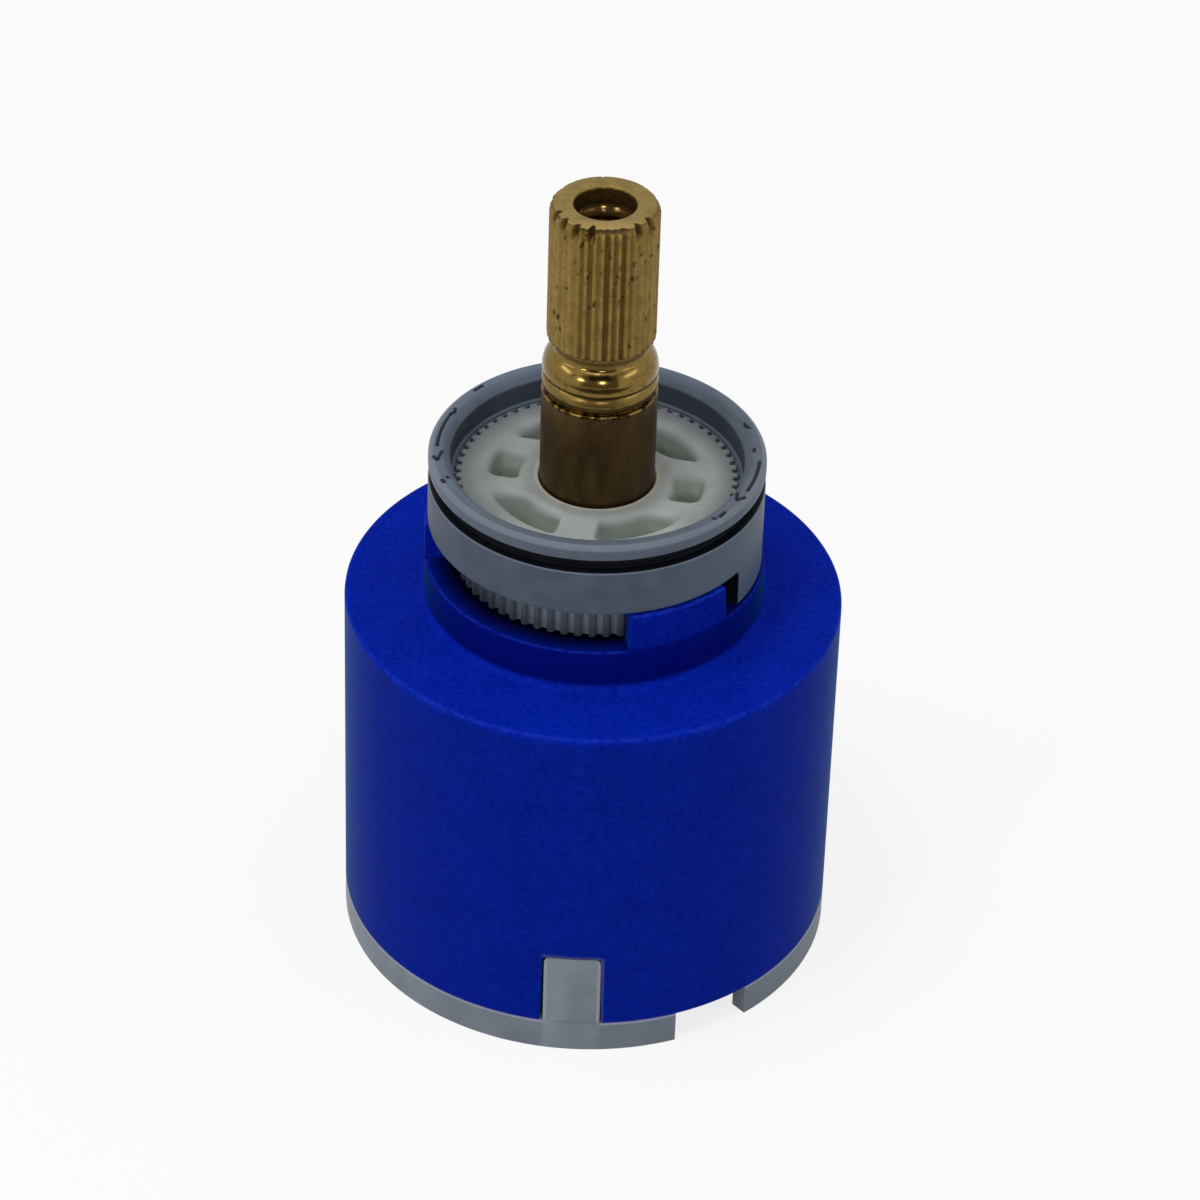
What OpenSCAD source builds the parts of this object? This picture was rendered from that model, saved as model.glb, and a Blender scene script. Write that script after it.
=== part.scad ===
// Rotary ceramic disc cartridge for a single-lever mixing tap, with an adjustable temperature stop.
// Millimetres. Z is the spindle axis, Z = 0 is the underside of the base rim, and -Y is the front.

/* [Housing] */
// Outside diameter of the housing and of the base rim
body_d = 35; // [34:0.5:40]
// Height of the housing from its lower edge to its shoulder
body_h = 25.3; // [24:0.1:30]
// Wall of the housing barrel
barrel_wall = 2; // [1.6:0.1:2.2]
// Thickness of the shoulder plate
shoulder_t = 2.4; // [1.8:0.1:3]
// Rounding of the shoulder's outer edge
shoulder_round = 0.4; // [0.2:0.1:0.8]
// Outside diameter of the tube that guides the spindle under the shoulder
guide_d = 16.4; // [15:0.2:18]

/* [Collar and stops] */
// Outside diameter of the collar
collar_d = 23.8; // [23:0.1:24.4]
// Height of the collar's rim above the shoulder
collar_h = 3.1; // [2.8:0.1:3.3]
// Height of the collar's floor above the shoulder
collar_floor_h = 2.6; // [2:0.1:2.7]
// Radial thickness of the rim and of the stop walls
stop_wall_t = 1.7; // [1.5:0.05:1.8]
// Height of the stop walls above the shoulder
stop_h = 6; // [5.5:0.05:6.5]
// Angle at which the cold stop wall starts
cold_stop_from = -77.1; // [-90:0.1:-60]
// Angle at which the cold stop wall ends
cold_stop_to = -40; // [-50:0.1:-40]
// Angle at which the hot stop wall starts
hot_stop_from = 112; // [112:0.5:130]
// Angle at which the hot stop wall ends
hot_stop_to = 187; // [180:0.5:210]
// Fillet between the collar and the shoulder
collar_fillet = 0.6; // [0.3:0.1:1]

/* [Base] */
// Height of the base rim below the housing
foot_h = 2.4; // [2:0.1:3]
// Wall of the base rim
foot_wall = 1.25; // [1:0.05:1.3]
// Thickness of the web that joins the rim to the plate
web_t = 1; // [0.8:0.1:1.2]
// Thickness of the plate inside the housing
plate_t = 3.6; // [3.2:0.1:4.5]
// Diameter of the port boss under the base
boss_d = 26.6; // [26.4:0.1:29]
// How far the boss stays above the underside of the rim
boss_rise = 0.5; // [0.4:0.1:0.8]
// Angle at which the notch in the rim starts
notch_from = -67.2; // [-72:0.1:-60]
// Angle at which the notch in the rim ends
notch_to = -48; // [-55:0.1:-40]
// Depth of the notch from the outside
notch_depth = 1.45; // [1.35:0.05:1.6]
// Number of snap tabs
tab_count = 3; // [2:1:4]
// Angle of the first snap tab
tab_angle = -92.1; // [-100:0.1:-85]
// Width of a snap tab
tab_w = 4; // [3:0.1:6]
// Height of a snap tab above the rim
tab_h = 5.8; // [4:0.1:7]
// How far a snap tab's face stays inside the housing's
tab_sink = 0.05; // [0.02:0.01:0.2]
// Rounding of a snap tab's upper corners
tab_round = 0.5; // [0.2:0.1:1]
// Height of the wall that holds the fixed disc
disc_wall_h = 4.4; // [3.5:0.1:4.5]
// Radius of the snap bead's section
bead_r = 0.5; // [0.3:0.05:0.6]

/* [Ports and seals] */
// Diameter of the outlet
outlet_d = 5.6; // [5.4:0.05:5.65]
// Diameter of the two inlets
inlet_d = 5; // [4.8:0.05:5.1]
// Distance of the inlets from the axis
inlet_radius = 8.3; // [8.25:0.05:8.4]
// Angle of the cold inlet
cold_angle = 230; // [225:1:235]
// Angle of the hot inlet
hot_angle = 310; // [305:1:315]
// Section of the port seals
port_seal_section = 1.4; // [1.2:0.1:1.4]
// Height of the port seals above the plane of the rim
port_seal_rise = 0.1; // [0.05:0.05:0.3]
// Land between a port and its gasket ring
port_land = 0.5; // [0.4:0.05:0.55]
// Width of the disc gasket's rings
gasket_w = 1.1; // [1:0.05:1.2]
// Height of the disc gasket
gasket_h = 1.3; // [1:0.05:2]
// How far the gasket stands above the plate
gasket_stand = 0.2; // [0.1:0.05:0.4]
// Diameter of the noise screen
screen_d = 6; // [5.8:0.05:6.1]
// Thickness of the noise screen
screen_t = 0.8; // [0.5:0.1:1.2]
// Diameter of the holes in the noise screen
screen_hole_d = 1.1; // [0.8:0.1:1.3]

/* [Ceramic discs and carrier] */
// Diameter of the fixed disc
fixed_disc_d = 25.2; // [25:0.1:25.8]
// Thickness of the fixed disc
fixed_disc_t = 4.5; // [4:0.1:5]
// How far the moving disc's edge stays inside the fixed disc's
disc_step = 0.4; // [0.1:0.1:0.5]
// Diameter of the moving disc
moving_disc_d = fixed_disc_d - 2 * disc_step;
// Thickness of the moving disc
moving_disc_t = 4; // [3.5:0.1:4.5]
// Width of the keys that hold the fixed disc
disc_key_w = 3; // [2:0.1:4]
// Depth of those keys
disc_key_depth = 1; // [0.6:0.1:1.2]
// Distance of the cavity's outer edge from the axis
cavity_reach = 10.8; // [10.4:0.1:10.9]
// Angle that the cavity spans
cavity_span = 65; // [55:1:70]
// Angle of the cavity's middle with the tap shut
cavity_angle = 174; // [170:1:176]
// Radius of the cavity about the axis
cavity_hub_r = 3.2; // [2.9:0.1:3.5]
// Width of the carrier seal
carrier_seal_w = 0.9; // [0.7:0.05:1]
// Height of the carrier seal
carrier_seal_h = 0.9; // [0.6:0.1:1]
// How far the disc carrier reaches past the moving disc
carrier_over = 0.4; // [0.2:0.1:1]
// Diameter of the disc carrier
carrier_d = moving_disc_d + 2 * carrier_over;
// Thickness of the disc carrier
carrier_t = 3.3; // [3.2:0.1:4]
// Width of the carrier's lugs in the moving disc
carrier_lug_w = 4; // [3:0.1:5]
// Length of those lugs, down and inwards
carrier_lug_l = 1.5; // [1:0.1:1.7]

/* [Spindle] */
// Diameter of the plain stem
stem_d = 8; // [7.8:0.1:8.6]
// Length of the plain stem above the toothed hub
stem_h = 7.4; // [5:0.1:15]
// Length of the beaded neck above the stem
neck_h = 3.5; // [3.4:0.1:6]
// Diameter over the spline's teeth
spline_d = 7.55; // [7:0.05:8]
// Number of teeth on the spline
spline_teeth = 20; // [16:1:24]
// Angle of the first of those teeth
spline_angle = -5; // [-9:0.5:9]
// Depth of the spline's teeth
spline_depth = 0.42; // [0.3:0.02:0.5]
// Length of the splined end with its chamfer
spline_h = 11.1; // [8:0.1:14]
// Chamfer at the tip, measured across
tip_chamfer = 0.25; // [0.2:0.05:0.4]
// Height of that chamfer
tip_chamfer_h = 0.65; // [0.3:0.05:1]
// Radius of the section of the neck's lower bead
lower_bead_r = 0.85; // [0.8:0.05:1]
// Height of the lower bead's middle above the stem
lower_bead_h = 0.75; // [0.7:0.05:0.8]
// Radius of the section of the neck's upper bead
upper_bead_r = 1.9; // [1.7:0.05:1.95]
// Height of the upper bead's underside above the stem
bead_split_h = 1.5; // [1.5:0.05:1.7]
// Height of the upper bead's middle above its underside
upper_bead_h = 0.3; // [0.1:0.05:0.4]
// Depth of the grooves beside the lower bead
neck_groove = 0.35; // [0.3:0.05:0.5]
// Depth of the waist under the spline
waist_depth = 0.75; // [0.7:0.05:0.9]
// Diameter of the tapping hole for the handle screw
screw_hole_d = 4.2; // [3.3:0.1:4.4]
// Depth of that hole
screw_hole_depth = 12; // [8:0.5:16]
// Diameter of the journal in the housing
journal_d = 10.8; // [10.6:0.1:11.2]
// Diameter of the thrust flange
flange_d = 16; // [15:0.1:16.4]
// Thickness of the thrust flange
flange_t = 3; // [2.5:0.1:3.5]
// Thickness of the thrust washer
washer_t = 0.8; // [0.5:0.1:1.2]
// Width of the tongue that drives the carrier
tongue_w = 4; // [3:0.1:5]
// Length of that tongue
tongue_l = 14; // [10:0.5:15]
// Depth of that tongue
tongue_h = 2; // [1.5:0.1:2.2]
// Section of the O-rings
o_ring_section = 1.3; // [1.1:0.05:1.4]
// Distance of the lower O-ring from the guide tube's lower end
o_ring_lower = 2.6; // [2:0.1:3]
// Distance of the upper O-ring from the collar's floor
o_ring_upper = 2.9; // [2:0.1:3.2]
// Diameter of the driving land inside the hub
land_d = 9.8; // [9.6:0.1:10]
// Distance across the flats of that land
land_flats = 8.4; // [8.2:0.1:8.8]
// Height of that land
land_h = 4.1; // [3:0.1:4.5]

/* [Temperature stop] */
// Number of teeth on the hub and in the ring
stop_teeth = 62; // [48:1:72]
// Angle of the first of those teeth
tooth_angle = 3; // [0:0.5:6]
// Diameter over the hub's teeth
hub_d = 19.6; // [19.5:0.1:19.8]
// Depth of the hub's teeth
tooth_depth = 0.35; // [0.3:0.05:0.6]
// Height of the hub
hub_h = 6.8; // [6.4:0.1:8]
// Inner radius of the hub's pockets
pocket_inner_r = 5.5; // [5.4:0.1:5.8]
// Outer radius of the hub's pockets
pocket_outer_r = 8; // [7.6:0.1:8.2]
// Depth of the hub's pockets
pocket_depth = 5; // [3:0.1:5.2]
// Width of the two square pockets
square_pocket_w = 2.7; // [2:0.1:3.2]
// Width of the ribs beside the square pockets
side_rib_w = 2.05; // [1.6:0.05:2.4]
// Width of the front and back ribs
main_rib_w = 2.85; // [2:0.05:3.4]
// Angle of the hub's square pockets
hub_angle = -11; // [-20:1:0]
// Outside diameter of the ring
ring_d = 23.4; // [23:0.1:23.8]
// Height of the ring without its lug
ring_h = 5.6; // [5:0.05:6]
// Height of the ring's grip lip
lip_h = 1.1; // [0.8:0.05:1.4]
// Height of the groove under the lip
groove_h = 1.05; // [0.6:0.05:1.1]
// Depth of that groove
groove_depth = 0.7; // [0.4:0.05:0.9]
// Chamfer round the lip's outer edge
lip_chamfer = 0.3; // [0.1:0.05:0.4]
// Width of the bevel round the ring's mouth
mouth_bevel = 0.6; // [0.4:0.05:0.8]
// Distance of the ring's inner wall from the roots of its teeth
ring_ledge = 0.25; // [0.15:0.05:0.3]
// How far the ring's teeth stay below the hub's top
tooth_sink = 0.5; // [0.2:0.05:0.8]
// Angle at which the ring's lug starts
lug_from = -32; // [-36:0.1:-30]
// Angle at which the ring's lug ends
lug_to = -4; // [-12:0.5:-4]
// How far the ring's teeth stay above its lower face
tooth_rise = 0.15; // [0.05:0.05:0.5]
// Length of the lug below the ring
lug_h = 2.8; // [2.5:0.05:3.2]

/* [Clearances] */
// Radial running clearance of the journal
journal_clear = 0.05; // [0.02:0.01:0.08]
// Clearance of pieces that are assembled and then stay put
seat_clear = 0.1; // [0.05:0.01:0.15]
// Clearance of the O-rings in the housing's bore
o_ring_clear = 0.03; // [0.01:0.01:0.05]
// Gap beside a snap tab
tab_clear = 0.2; // [0.1:0.05:0.3]
// Clearance between the teeth of the hub and the ring
tooth_clear = 0.1; // [0.05:0.01:0.14]
// Gap between the hub and the collar's floor
hub_gap = 0.3; // [0.2:0.05:0.5]
// Gap between the ring and the stop walls below it
ring_gap = 0.2; // [0.15:0.05:0.4]
// Clearance between the lug and the bore of the stop walls
lug_clear = 0.1; // [0.1:0.05:0.3]

/* [Hidden] */
$fn = 96;
// How far a cut runs past the face that it opens
eps = 0.5;

body_r = body_d / 2;
bore_r = body_r - barrel_wall;
collar_r = collar_d / 2;
stop_inner_r = collar_r - stop_wall_t;
journal_r = journal_d / 2;
guide_r = guide_d / 2;
guide_bore_r = journal_r + journal_clear;
stem_r = stem_d / 2;
spline_r = spline_d / 2;
ring_r = ring_d / 2;
plate_r = bore_r - seat_clear;
disc_seat_r = fixed_disc_d / 2 + seat_clear;
snap_mid_r = plate_r - bead_r / 2;
o_ring_mid_r = guide_bore_r - o_ring_clear - o_ring_section / 2;

// Share of the pitch that a tooth fills at its root and at its tip, on the hub and on the spline
tooth_root_share = 0.58;
tooth_tip_share = 0.42;
spline_root_share = 0.7;
spline_tip_share = 0.4;
hub_tip_r = hub_d / 2;
hub_root_r = hub_tip_r - tooth_depth;
clear_share = tooth_clear * stop_teeth / (PI * hub_tip_r);
ring_root_r = hub_tip_r + tooth_clear;
ring_mouth_r = ring_root_r + ring_ledge;

// Heights from the underside of the base rim upwards
web_z = foot_h - web_t;
plate_top_z = foot_h + plate_t;
gasket_z = plate_top_z + gasket_stand - gasket_h;
fixed_z = plate_top_z + gasket_stand;
moving_z = fixed_z + fixed_disc_t;
carrier_z = moving_z + moving_disc_t;
flange_z = carrier_z + carrier_t;
washer_z = flange_z + flange_t;
guide_z = washer_z + washer_t;
snap_z = plate_top_z + disc_wall_h - 2 * bead_r;
shoulder_z = foot_h + body_h;
roof_z = shoulder_z - shoulder_t;
floor_z = shoulder_z + collar_floor_h;
rim_z = shoulder_z + collar_h;
stop_z = shoulder_z + stop_h;
hub_z = floor_z + hub_gap;
land_top_z = hub_z + land_h;
hub_top_z = hub_z + hub_h;
stem_top_z = hub_top_z + stem_h;
spline_z = stem_top_z + neck_h;
tip_z = spline_z + spline_h;
ring_z = stop_z + ring_gap;
ring_top_z = ring_z + ring_h;
lip_z = ring_top_z - lip_h;
groove_z = lip_z - groove_h;
o_ring_lower_z = guide_z + o_ring_lower;
o_ring_upper_z = floor_z - o_ring_upper;

BLUE = "#1428a0";
WHITE = "#d9dcd6";
GREY = "#6f7986";
BRASS = "#b98a35";
CERAMIC = "#e9e6df";
RUBBER = "#23262a";

// Ring between two radii
module tube(outer, inner, z, h) {
    translate([0, 0, z]) difference() {
        cylinder(r = outer, h = h);
        translate([0, 0, -eps]) cylinder(r = inner, h = h + 2 * eps);
    }
}

// Piece of a ring between two angles
module sector(inner, outer, from, to, z, h) {
    rotate([0, 0, from]) rotate_extrude(angle = to - from)
        translate([inner, z]) square([outer - inner, h]);
}

// Ring of round section
module torus(mid_r, section, z) {
    rotate_extrude() translate([mid_r, z]) circle(d = section);
}

// Copies about the axis
module around(count, first) {
    for (i = [0 : count - 1]) rotate([0, 0, first + i * 360 / count]) children();
}

// The place of one inlet
module at_inlet(angle) {
    rotate([0, 0, angle]) translate([inlet_radius, 0]) children();
}

// The places of both inlets
module at_inlets() {
    at_inlet(cold_angle) children();
    at_inlet(hot_angle) children();
}

// Straight-sided teeth round a circle; the shares say how much of the pitch a tooth fills
module toothed_outline(count, root_r, tip_r, root_share, tip_share) {
    corners = [[root_r, -root_share], [tip_r, -tip_share], [tip_r, tip_share], [root_r, root_share]];
    polygon([for (i = [0 : count - 1], c = corners)
        let (a = (i + c[1] / 2) * 360 / count) c[0] * [cos(a), sin(a)]]);
}

// Upright bar across +X, with rounded upper corners
module rounded_bar(width, height, corner, from_r, to_r) {
    translate([from_r, 0, 0]) rotate([90, 0, 90]) linear_extrude(to_r - from_r) {
        translate([-width / 2, 0]) square([width, height - corner]);
        translate([-width / 2 + corner, 0]) square([width - 2 * corner, height]);
        for (side = [-1, 1]) translate([side * (width / 2 - corner), height - corner]) circle(r = corner);
    }
}

// Round bar with two flats
module flatted_bar(diameter, flats, z, h) {
    translate([0, 0, z]) intersection() {
        cylinder(d = diameter, h = h);
        translate([-diameter, -flats / 2, 0]) cube([2 * diameter, flats, h]);
    }
}

// Half section of the housing's barrel, shoulder, guide tube and collar at its stop walls
module housing_profile() {
    difference() {
        union() {
            translate([0, foot_h]) square([body_r, body_h - shoulder_round]);
            translate([0, foot_h]) square([body_r - shoulder_round, body_h]);
            translate([body_r - shoulder_round, shoulder_z - shoulder_round]) circle(r = shoulder_round);
            translate([0, roof_z]) square([collar_r, floor_z - roof_z]);
            translate([stop_inner_r, roof_z]) square([stop_wall_t, stop_z - roof_z]);
            translate([collar_r - eps, roof_z])
                square([eps + collar_fillet, shoulder_t + collar_fillet]);
        }
        translate([collar_r + collar_fillet, shoulder_z + collar_fillet]) circle(r = collar_fillet);
        translate([guide_r, foot_h - eps]) square([bore_r - guide_r, roof_z - foot_h + eps]);
        translate([-eps, foot_h - eps]) square([guide_r + 2 * eps, guide_z - foot_h + eps]);
        translate([-eps, guide_z - eps]) square([guide_bore_r + eps, floor_z - guide_z + 2 * eps]);
        translate([snap_mid_r, snap_z]) circle(r = bead_r + seat_clear);
    }
}

module housing() {
    color(BLUE) difference() {
        rotate_extrude() housing_profile();
        for (gap = [[cold_stop_to, hot_stop_from], [hot_stop_to, cold_stop_from + 360]])
            sector(stop_inner_r - eps, collar_r + eps, gap[0], gap[1], rim_z, stop_z - rim_z + eps);
        around(tab_count, tab_angle) translate([0, 0, foot_h - eps])
            rounded_bar(tab_w + 2 * tab_clear, eps + tab_h + tab_clear, tab_round,
                        bore_r - barrel_wall, body_r + eps);
    }
}

// Recess under the base for one port seal, with the port above it
module port_cut(port_d) {
    translate([0, 0, -eps]) {
        cylinder(d = port_d, h = plate_top_z + 2 * eps);
        cylinder(d = port_d + 2 * port_seal_section + seat_clear,
                 h = eps + port_seal_rise + port_seal_section);
    }
}

// Rings round the three ports, joined where they meet; grow widens them for their groove
module gasket_outline(grow) {
    module ring(port_d) difference() {
        circle(d = port_d + 2 * (port_land + gasket_w + grow));
        circle(d = port_d + 2 * (port_land - grow));
    }
    ring(outlet_d);
    at_inlets() ring(inlet_d);
}

// Keys that stop the fixed disc from turning
module disc_keys(clear, z, h) {
    around(2, 90) translate([disc_seat_r - disc_key_depth - clear, -disc_key_w / 2 - clear, z])
        cube([disc_key_depth + clear + eps, disc_key_w + 2 * clear, h]);
}

// Half section of the base: rim, web, port boss, plate, disc wall and snap bead
module base_profile() {
    translate([body_r - foot_wall, 0]) square([foot_wall, foot_h]);
    translate([0, web_z]) square([body_r - foot_wall / 2, web_t]);
    translate([0, boss_rise]) square([boss_d / 2, foot_h - boss_rise]);
    translate([0, web_z]) square([plate_r, plate_top_z - web_z]);
    translate([disc_seat_r, plate_top_z - eps]) square([plate_r - disc_seat_r, eps + disc_wall_h]);
    translate([snap_mid_r, snap_z]) circle(r = bead_r);
}

module base() {
    color(WHITE) difference() {
        union() {
            rotate_extrude() base_profile();
            disc_keys(0, plate_top_z - eps, eps + disc_wall_h);
            around(tab_count, tab_angle) translate([0, 0, web_z]) intersection() {
                rounded_bar(tab_w, web_t + tab_h, tab_round, plate_r - eps, body_r + eps);
                cylinder(r = body_r - tab_sink, h = web_t + tab_h);
            }
        }
        sector(body_r - notch_depth, body_r + eps, notch_from, notch_to, -eps, foot_h + eps);
        port_cut(outlet_d);
        at_inlets() port_cut(inlet_d);
        translate([0, 0, gasket_z]) linear_extrude(gasket_h) gasket_outline(seat_clear);
        translate([0, 0, plate_top_z - screen_t]) cylinder(d = screen_d + seat_clear, h = screen_t + eps);
    }
}

module disc_gasket() {
    color(RUBBER) translate([0, 0, gasket_z]) linear_extrude(gasket_h) gasket_outline(0);
}

// Rubber ring round a port, standing out of its recess
module port_seal(port_d) {
    color(RUBBER) torus((port_d + port_seal_section) / 2, port_seal_section,
                        port_seal_rise + port_seal_section / 2);
}

module cold_port_seal() at_inlet(cold_angle) port_seal(inlet_d);

module hot_port_seal() at_inlet(hot_angle) port_seal(inlet_d);

module outlet_port_seal() port_seal(outlet_d);

module noise_screen() {
    color(WHITE) translate([0, 0, plate_top_z - screen_t]) difference() {
        cylinder(d = screen_d, h = screen_t);
        translate([0, 0, -eps]) cylinder(d = screen_hole_d, h = screen_t + 2 * eps);
        around(6, 0) translate([outlet_d / 2 - screen_hole_d, 0, -eps])
            cylinder(d = screen_hole_d, h = screen_t + 2 * eps);
    }
}

module fixed_disc() {
    color(CERAMIC) difference() {
        translate([0, 0, fixed_z]) cylinder(d = fixed_disc_d, h = fixed_disc_t);
        translate([0, 0, fixed_z - eps]) {
            cylinder(d = outlet_d, h = fixed_disc_t + 2 * eps);
            at_inlets() cylinder(d = inlet_d, h = fixed_disc_t + 2 * eps);
        }
        disc_keys(seat_clear, fixed_z - eps, fixed_disc_t + 2 * eps);
    }
}

// Mixing cavity about +X: a wedge that ends at its reach, with a round middle
module cavity_outline(grow) {
    half = cavity_span / 2;
    reach = cavity_reach + grow;
    back = grow / sin(half);
    side = (reach + back) * tan(half);
    circle(r = cavity_hub_r + grow);
    intersection() {
        circle(r = reach);
        polygon([[-back, 0], [reach, -side], [reach, side]]);
    }
}

// Blocks that reach from the carrier into the moving disc's edge
module carrier_lugs(clear) {
    around(2, cavity_angle + 90)
        translate([moving_disc_d / 2 - carrier_lug_l - clear, -carrier_lug_w / 2 - clear,
                   carrier_z - carrier_lug_l - clear])
            cube([carrier_d / 2, carrier_lug_w + 2 * clear, carrier_lug_l + clear + eps]);
}

module moving_disc() {
    color(CERAMIC) difference() {
        translate([0, 0, moving_z]) cylinder(d = moving_disc_d, h = moving_disc_t);
        rotate([0, 0, cavity_angle]) translate([0, 0, moving_z - eps])
            linear_extrude(moving_disc_t + 2 * eps) cavity_outline(0);
        carrier_lugs(seat_clear);
    }
}

// Band round the cavity; grow widens it for its groove
module carrier_seal_outline(grow) {
    rotate([0, 0, cavity_angle]) difference() {
        cavity_outline(2 * seat_clear + carrier_seal_w + grow);
        cavity_outline(2 * seat_clear - grow);
    }
}

module carrier_seal() {
    color(RUBBER) translate([0, 0, carrier_z]) linear_extrude(carrier_seal_h) carrier_seal_outline(0);
}

// Tongue across the underside of the spindle's flange
module tongue(clear) {
    rotate([0, 0, hub_angle])
        translate([-tongue_l / 2 - clear, -tongue_w / 2 - clear, flange_z - tongue_h - clear])
            cube([tongue_l + 2 * clear, tongue_w + 2 * clear, tongue_h + clear + eps]);
}

module disc_carrier() {
    color(WHITE) difference() {
        union() {
            translate([0, 0, carrier_z]) cylinder(d = carrier_d, h = carrier_t);
            intersection() {
                carrier_lugs(0);
                cylinder(d = carrier_d, h = flange_z);
            }
        }
        translate([0, 0, carrier_z - eps]) linear_extrude(eps + carrier_seal_h)
            carrier_seal_outline(seat_clear / 2);
        tongue(seat_clear);
    }
}

// Half section of the spindle from its flange to the waist under the spline
module spindle_profile() {
    split_z = stem_top_z + bead_split_h;
    difference() {
        union() {
            translate([0, flange_z]) square([flange_d / 2, flange_t]);
            translate([0, flange_z]) square([journal_r, floor_z - flange_z]);
            translate([0, flange_z]) square([stem_r, stem_top_z - flange_z]);
            translate([0, stem_top_z - eps]) square([stem_r - neck_groove, eps + bead_split_h + upper_bead_h]);
            translate([stem_r - lower_bead_r, stem_top_z + lower_bead_h]) circle(r = lower_bead_r);
            difference() {
                translate([stem_r - upper_bead_r, split_z + upper_bead_h]) circle(r = upper_bead_r);
                translate([0, split_z - stem_d]) square(stem_d);
            }
            translate([0, stem_top_z - eps]) square([stem_r - waist_depth, neck_h + 2 * eps]);
        }
        for (z = [o_ring_lower_z, o_ring_upper_z])
            translate([o_ring_mid_r - o_ring_section / 2, z - o_ring_section / 2 - seat_clear])
                square([journal_r, o_ring_section + 2 * seat_clear]);
    }
}

// Splined end with a chamfer at its tip and a short run-in at its foot
module spline() {
    root_r = spline_r - spline_depth;
    run_in = 2 * spline_depth;
    intersection() {
        translate([0, 0, spline_z]) linear_extrude(spline_h) rotate(spline_angle)
            toothed_outline(spline_teeth, root_r, spline_r, spline_root_share, spline_tip_share);
        rotate_extrude() polygon([[0, spline_z], [spline_r - run_in, spline_z], [spline_r, spline_z + run_in],
            [spline_r, tip_z - tip_chamfer_h], [spline_r - tip_chamfer, tip_z], [0, tip_z]]);
    }
}

module spindle() {
    color(BRASS) difference() {
        union() {
            tongue(0);
            rotate_extrude() spindle_profile();
            rotate([0, 0, hub_angle]) flatted_bar(land_d, land_flats, floor_z - eps, eps + land_top_z - floor_z);
            spline();
        }
        translate([0, 0, tip_z - screw_hole_depth]) cylinder(d = screw_hole_d, h = screw_hole_depth + eps);
    }
}

module spindle_o_ring_lower() color(RUBBER) torus(o_ring_mid_r, o_ring_section, o_ring_lower_z);

module spindle_o_ring_upper() color(RUBBER) torus(o_ring_mid_r, o_ring_section, o_ring_upper_z);

module thrust_washer() color(WHITE) tube(flange_d / 2, journal_r + seat_clear, washer_z, washer_t);

// Two square pockets on the X axis and four curved ones between the ribs
module pocket_outline() {
    span = 2 * pocket_outer_r;
    intersection() {
        difference() {
            circle(r = pocket_outer_r);
            circle(r = pocket_inner_r);
        }
        union() {
            square([span, square_pocket_w], center = true);
            difference() {
                square(span, center = true);
                square([span + eps, square_pocket_w + 2 * side_rib_w], center = true);
                square([main_rib_w, span + eps], center = true);
            }
        }
    }
}

module limit_hub() {
    color(WHITE) difference() {
        translate([0, 0, hub_z]) linear_extrude(hub_h) rotate(tooth_angle)
            toothed_outline(stop_teeth, hub_root_r, hub_tip_r, tooth_root_share, tooth_tip_share);
        translate([0, 0, hub_z - eps]) cylinder(r = stem_r + seat_clear / 2, h = hub_h + 2 * eps);
        rotate([0, 0, hub_angle]) {
            flatted_bar(land_d + seat_clear, land_flats + seat_clear, hub_z - eps, eps + land_h + seat_clear);
            translate([0, 0, hub_top_z - pocket_depth]) linear_extrude(pocket_depth + eps) pocket_outline();
        }
    }
}

// Half section of the ring at its lug, with the finger groove under its lip
module ring_profile() {
    lug_z = ring_z - lug_h;
    lug_r = stop_inner_r + lug_clear;
    tooth_z = ring_z + tooth_rise;
    neck_r = ring_r - groove_depth;
    polygon([[0, tooth_z], [lug_r, tooth_z], [lug_r, lug_z], [ring_r, lug_z], [ring_r, groove_z],
        [neck_r, groove_z], [neck_r, lip_z], [ring_r, lip_z], [ring_r, ring_top_z - lip_chamfer],
        [ring_r - lip_chamfer, ring_top_z], [0, ring_top_z]]);
}

module limit_ring() {
    color(GREY) difference() {
        rotate_extrude() ring_profile();
        sector(stop_inner_r, ring_r + eps, lug_to, lug_from + 360, ring_z - lug_h - eps, lug_h + eps);
        translate([0, 0, ring_z - eps]) linear_extrude(hub_top_z - ring_z + 2 * eps) rotate(tooth_angle)
            toothed_outline(stop_teeth, hub_root_r + tooth_clear, ring_root_r,
                            tooth_root_share + clear_share, tooth_tip_share + clear_share);
        translate([0, 0, hub_top_z - tooth_sink]) cylinder(r = ring_root_r + tooth_clear / 2, h = ring_h);
        translate([0, 0, hub_top_z]) cylinder(r = ring_mouth_r, h = ring_h);
        translate([0, 0, ring_top_z - mouth_bevel])
            cylinder(r1 = ring_mouth_r, r2 = ring_mouth_r + mouth_bevel + eps, h = mouth_bevel + eps);
    }
}

housing();
base();
disc_gasket();
cold_port_seal();
hot_port_seal();
outlet_port_seal();
noise_screen();
fixed_disc();
moving_disc();
carrier_seal();
disc_carrier();
spindle();
spindle_o_ring_lower();
spindle_o_ring_upper();
thrust_washer();
limit_hub();
limit_ring();
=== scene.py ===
"""Looks of a rotary ceramic disc cartridge for a mixing tap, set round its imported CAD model.

Blender works in metres. The shapes below are worked out in millimetres and degrees, with Z as the
spindle axis and Z = 0 at the underside of the base rim. They turn to metres as they go into a mesh.
"""
from functools import cached_property

import bpy
import numpy as np
from mathutils import Matrix, Vector


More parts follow.
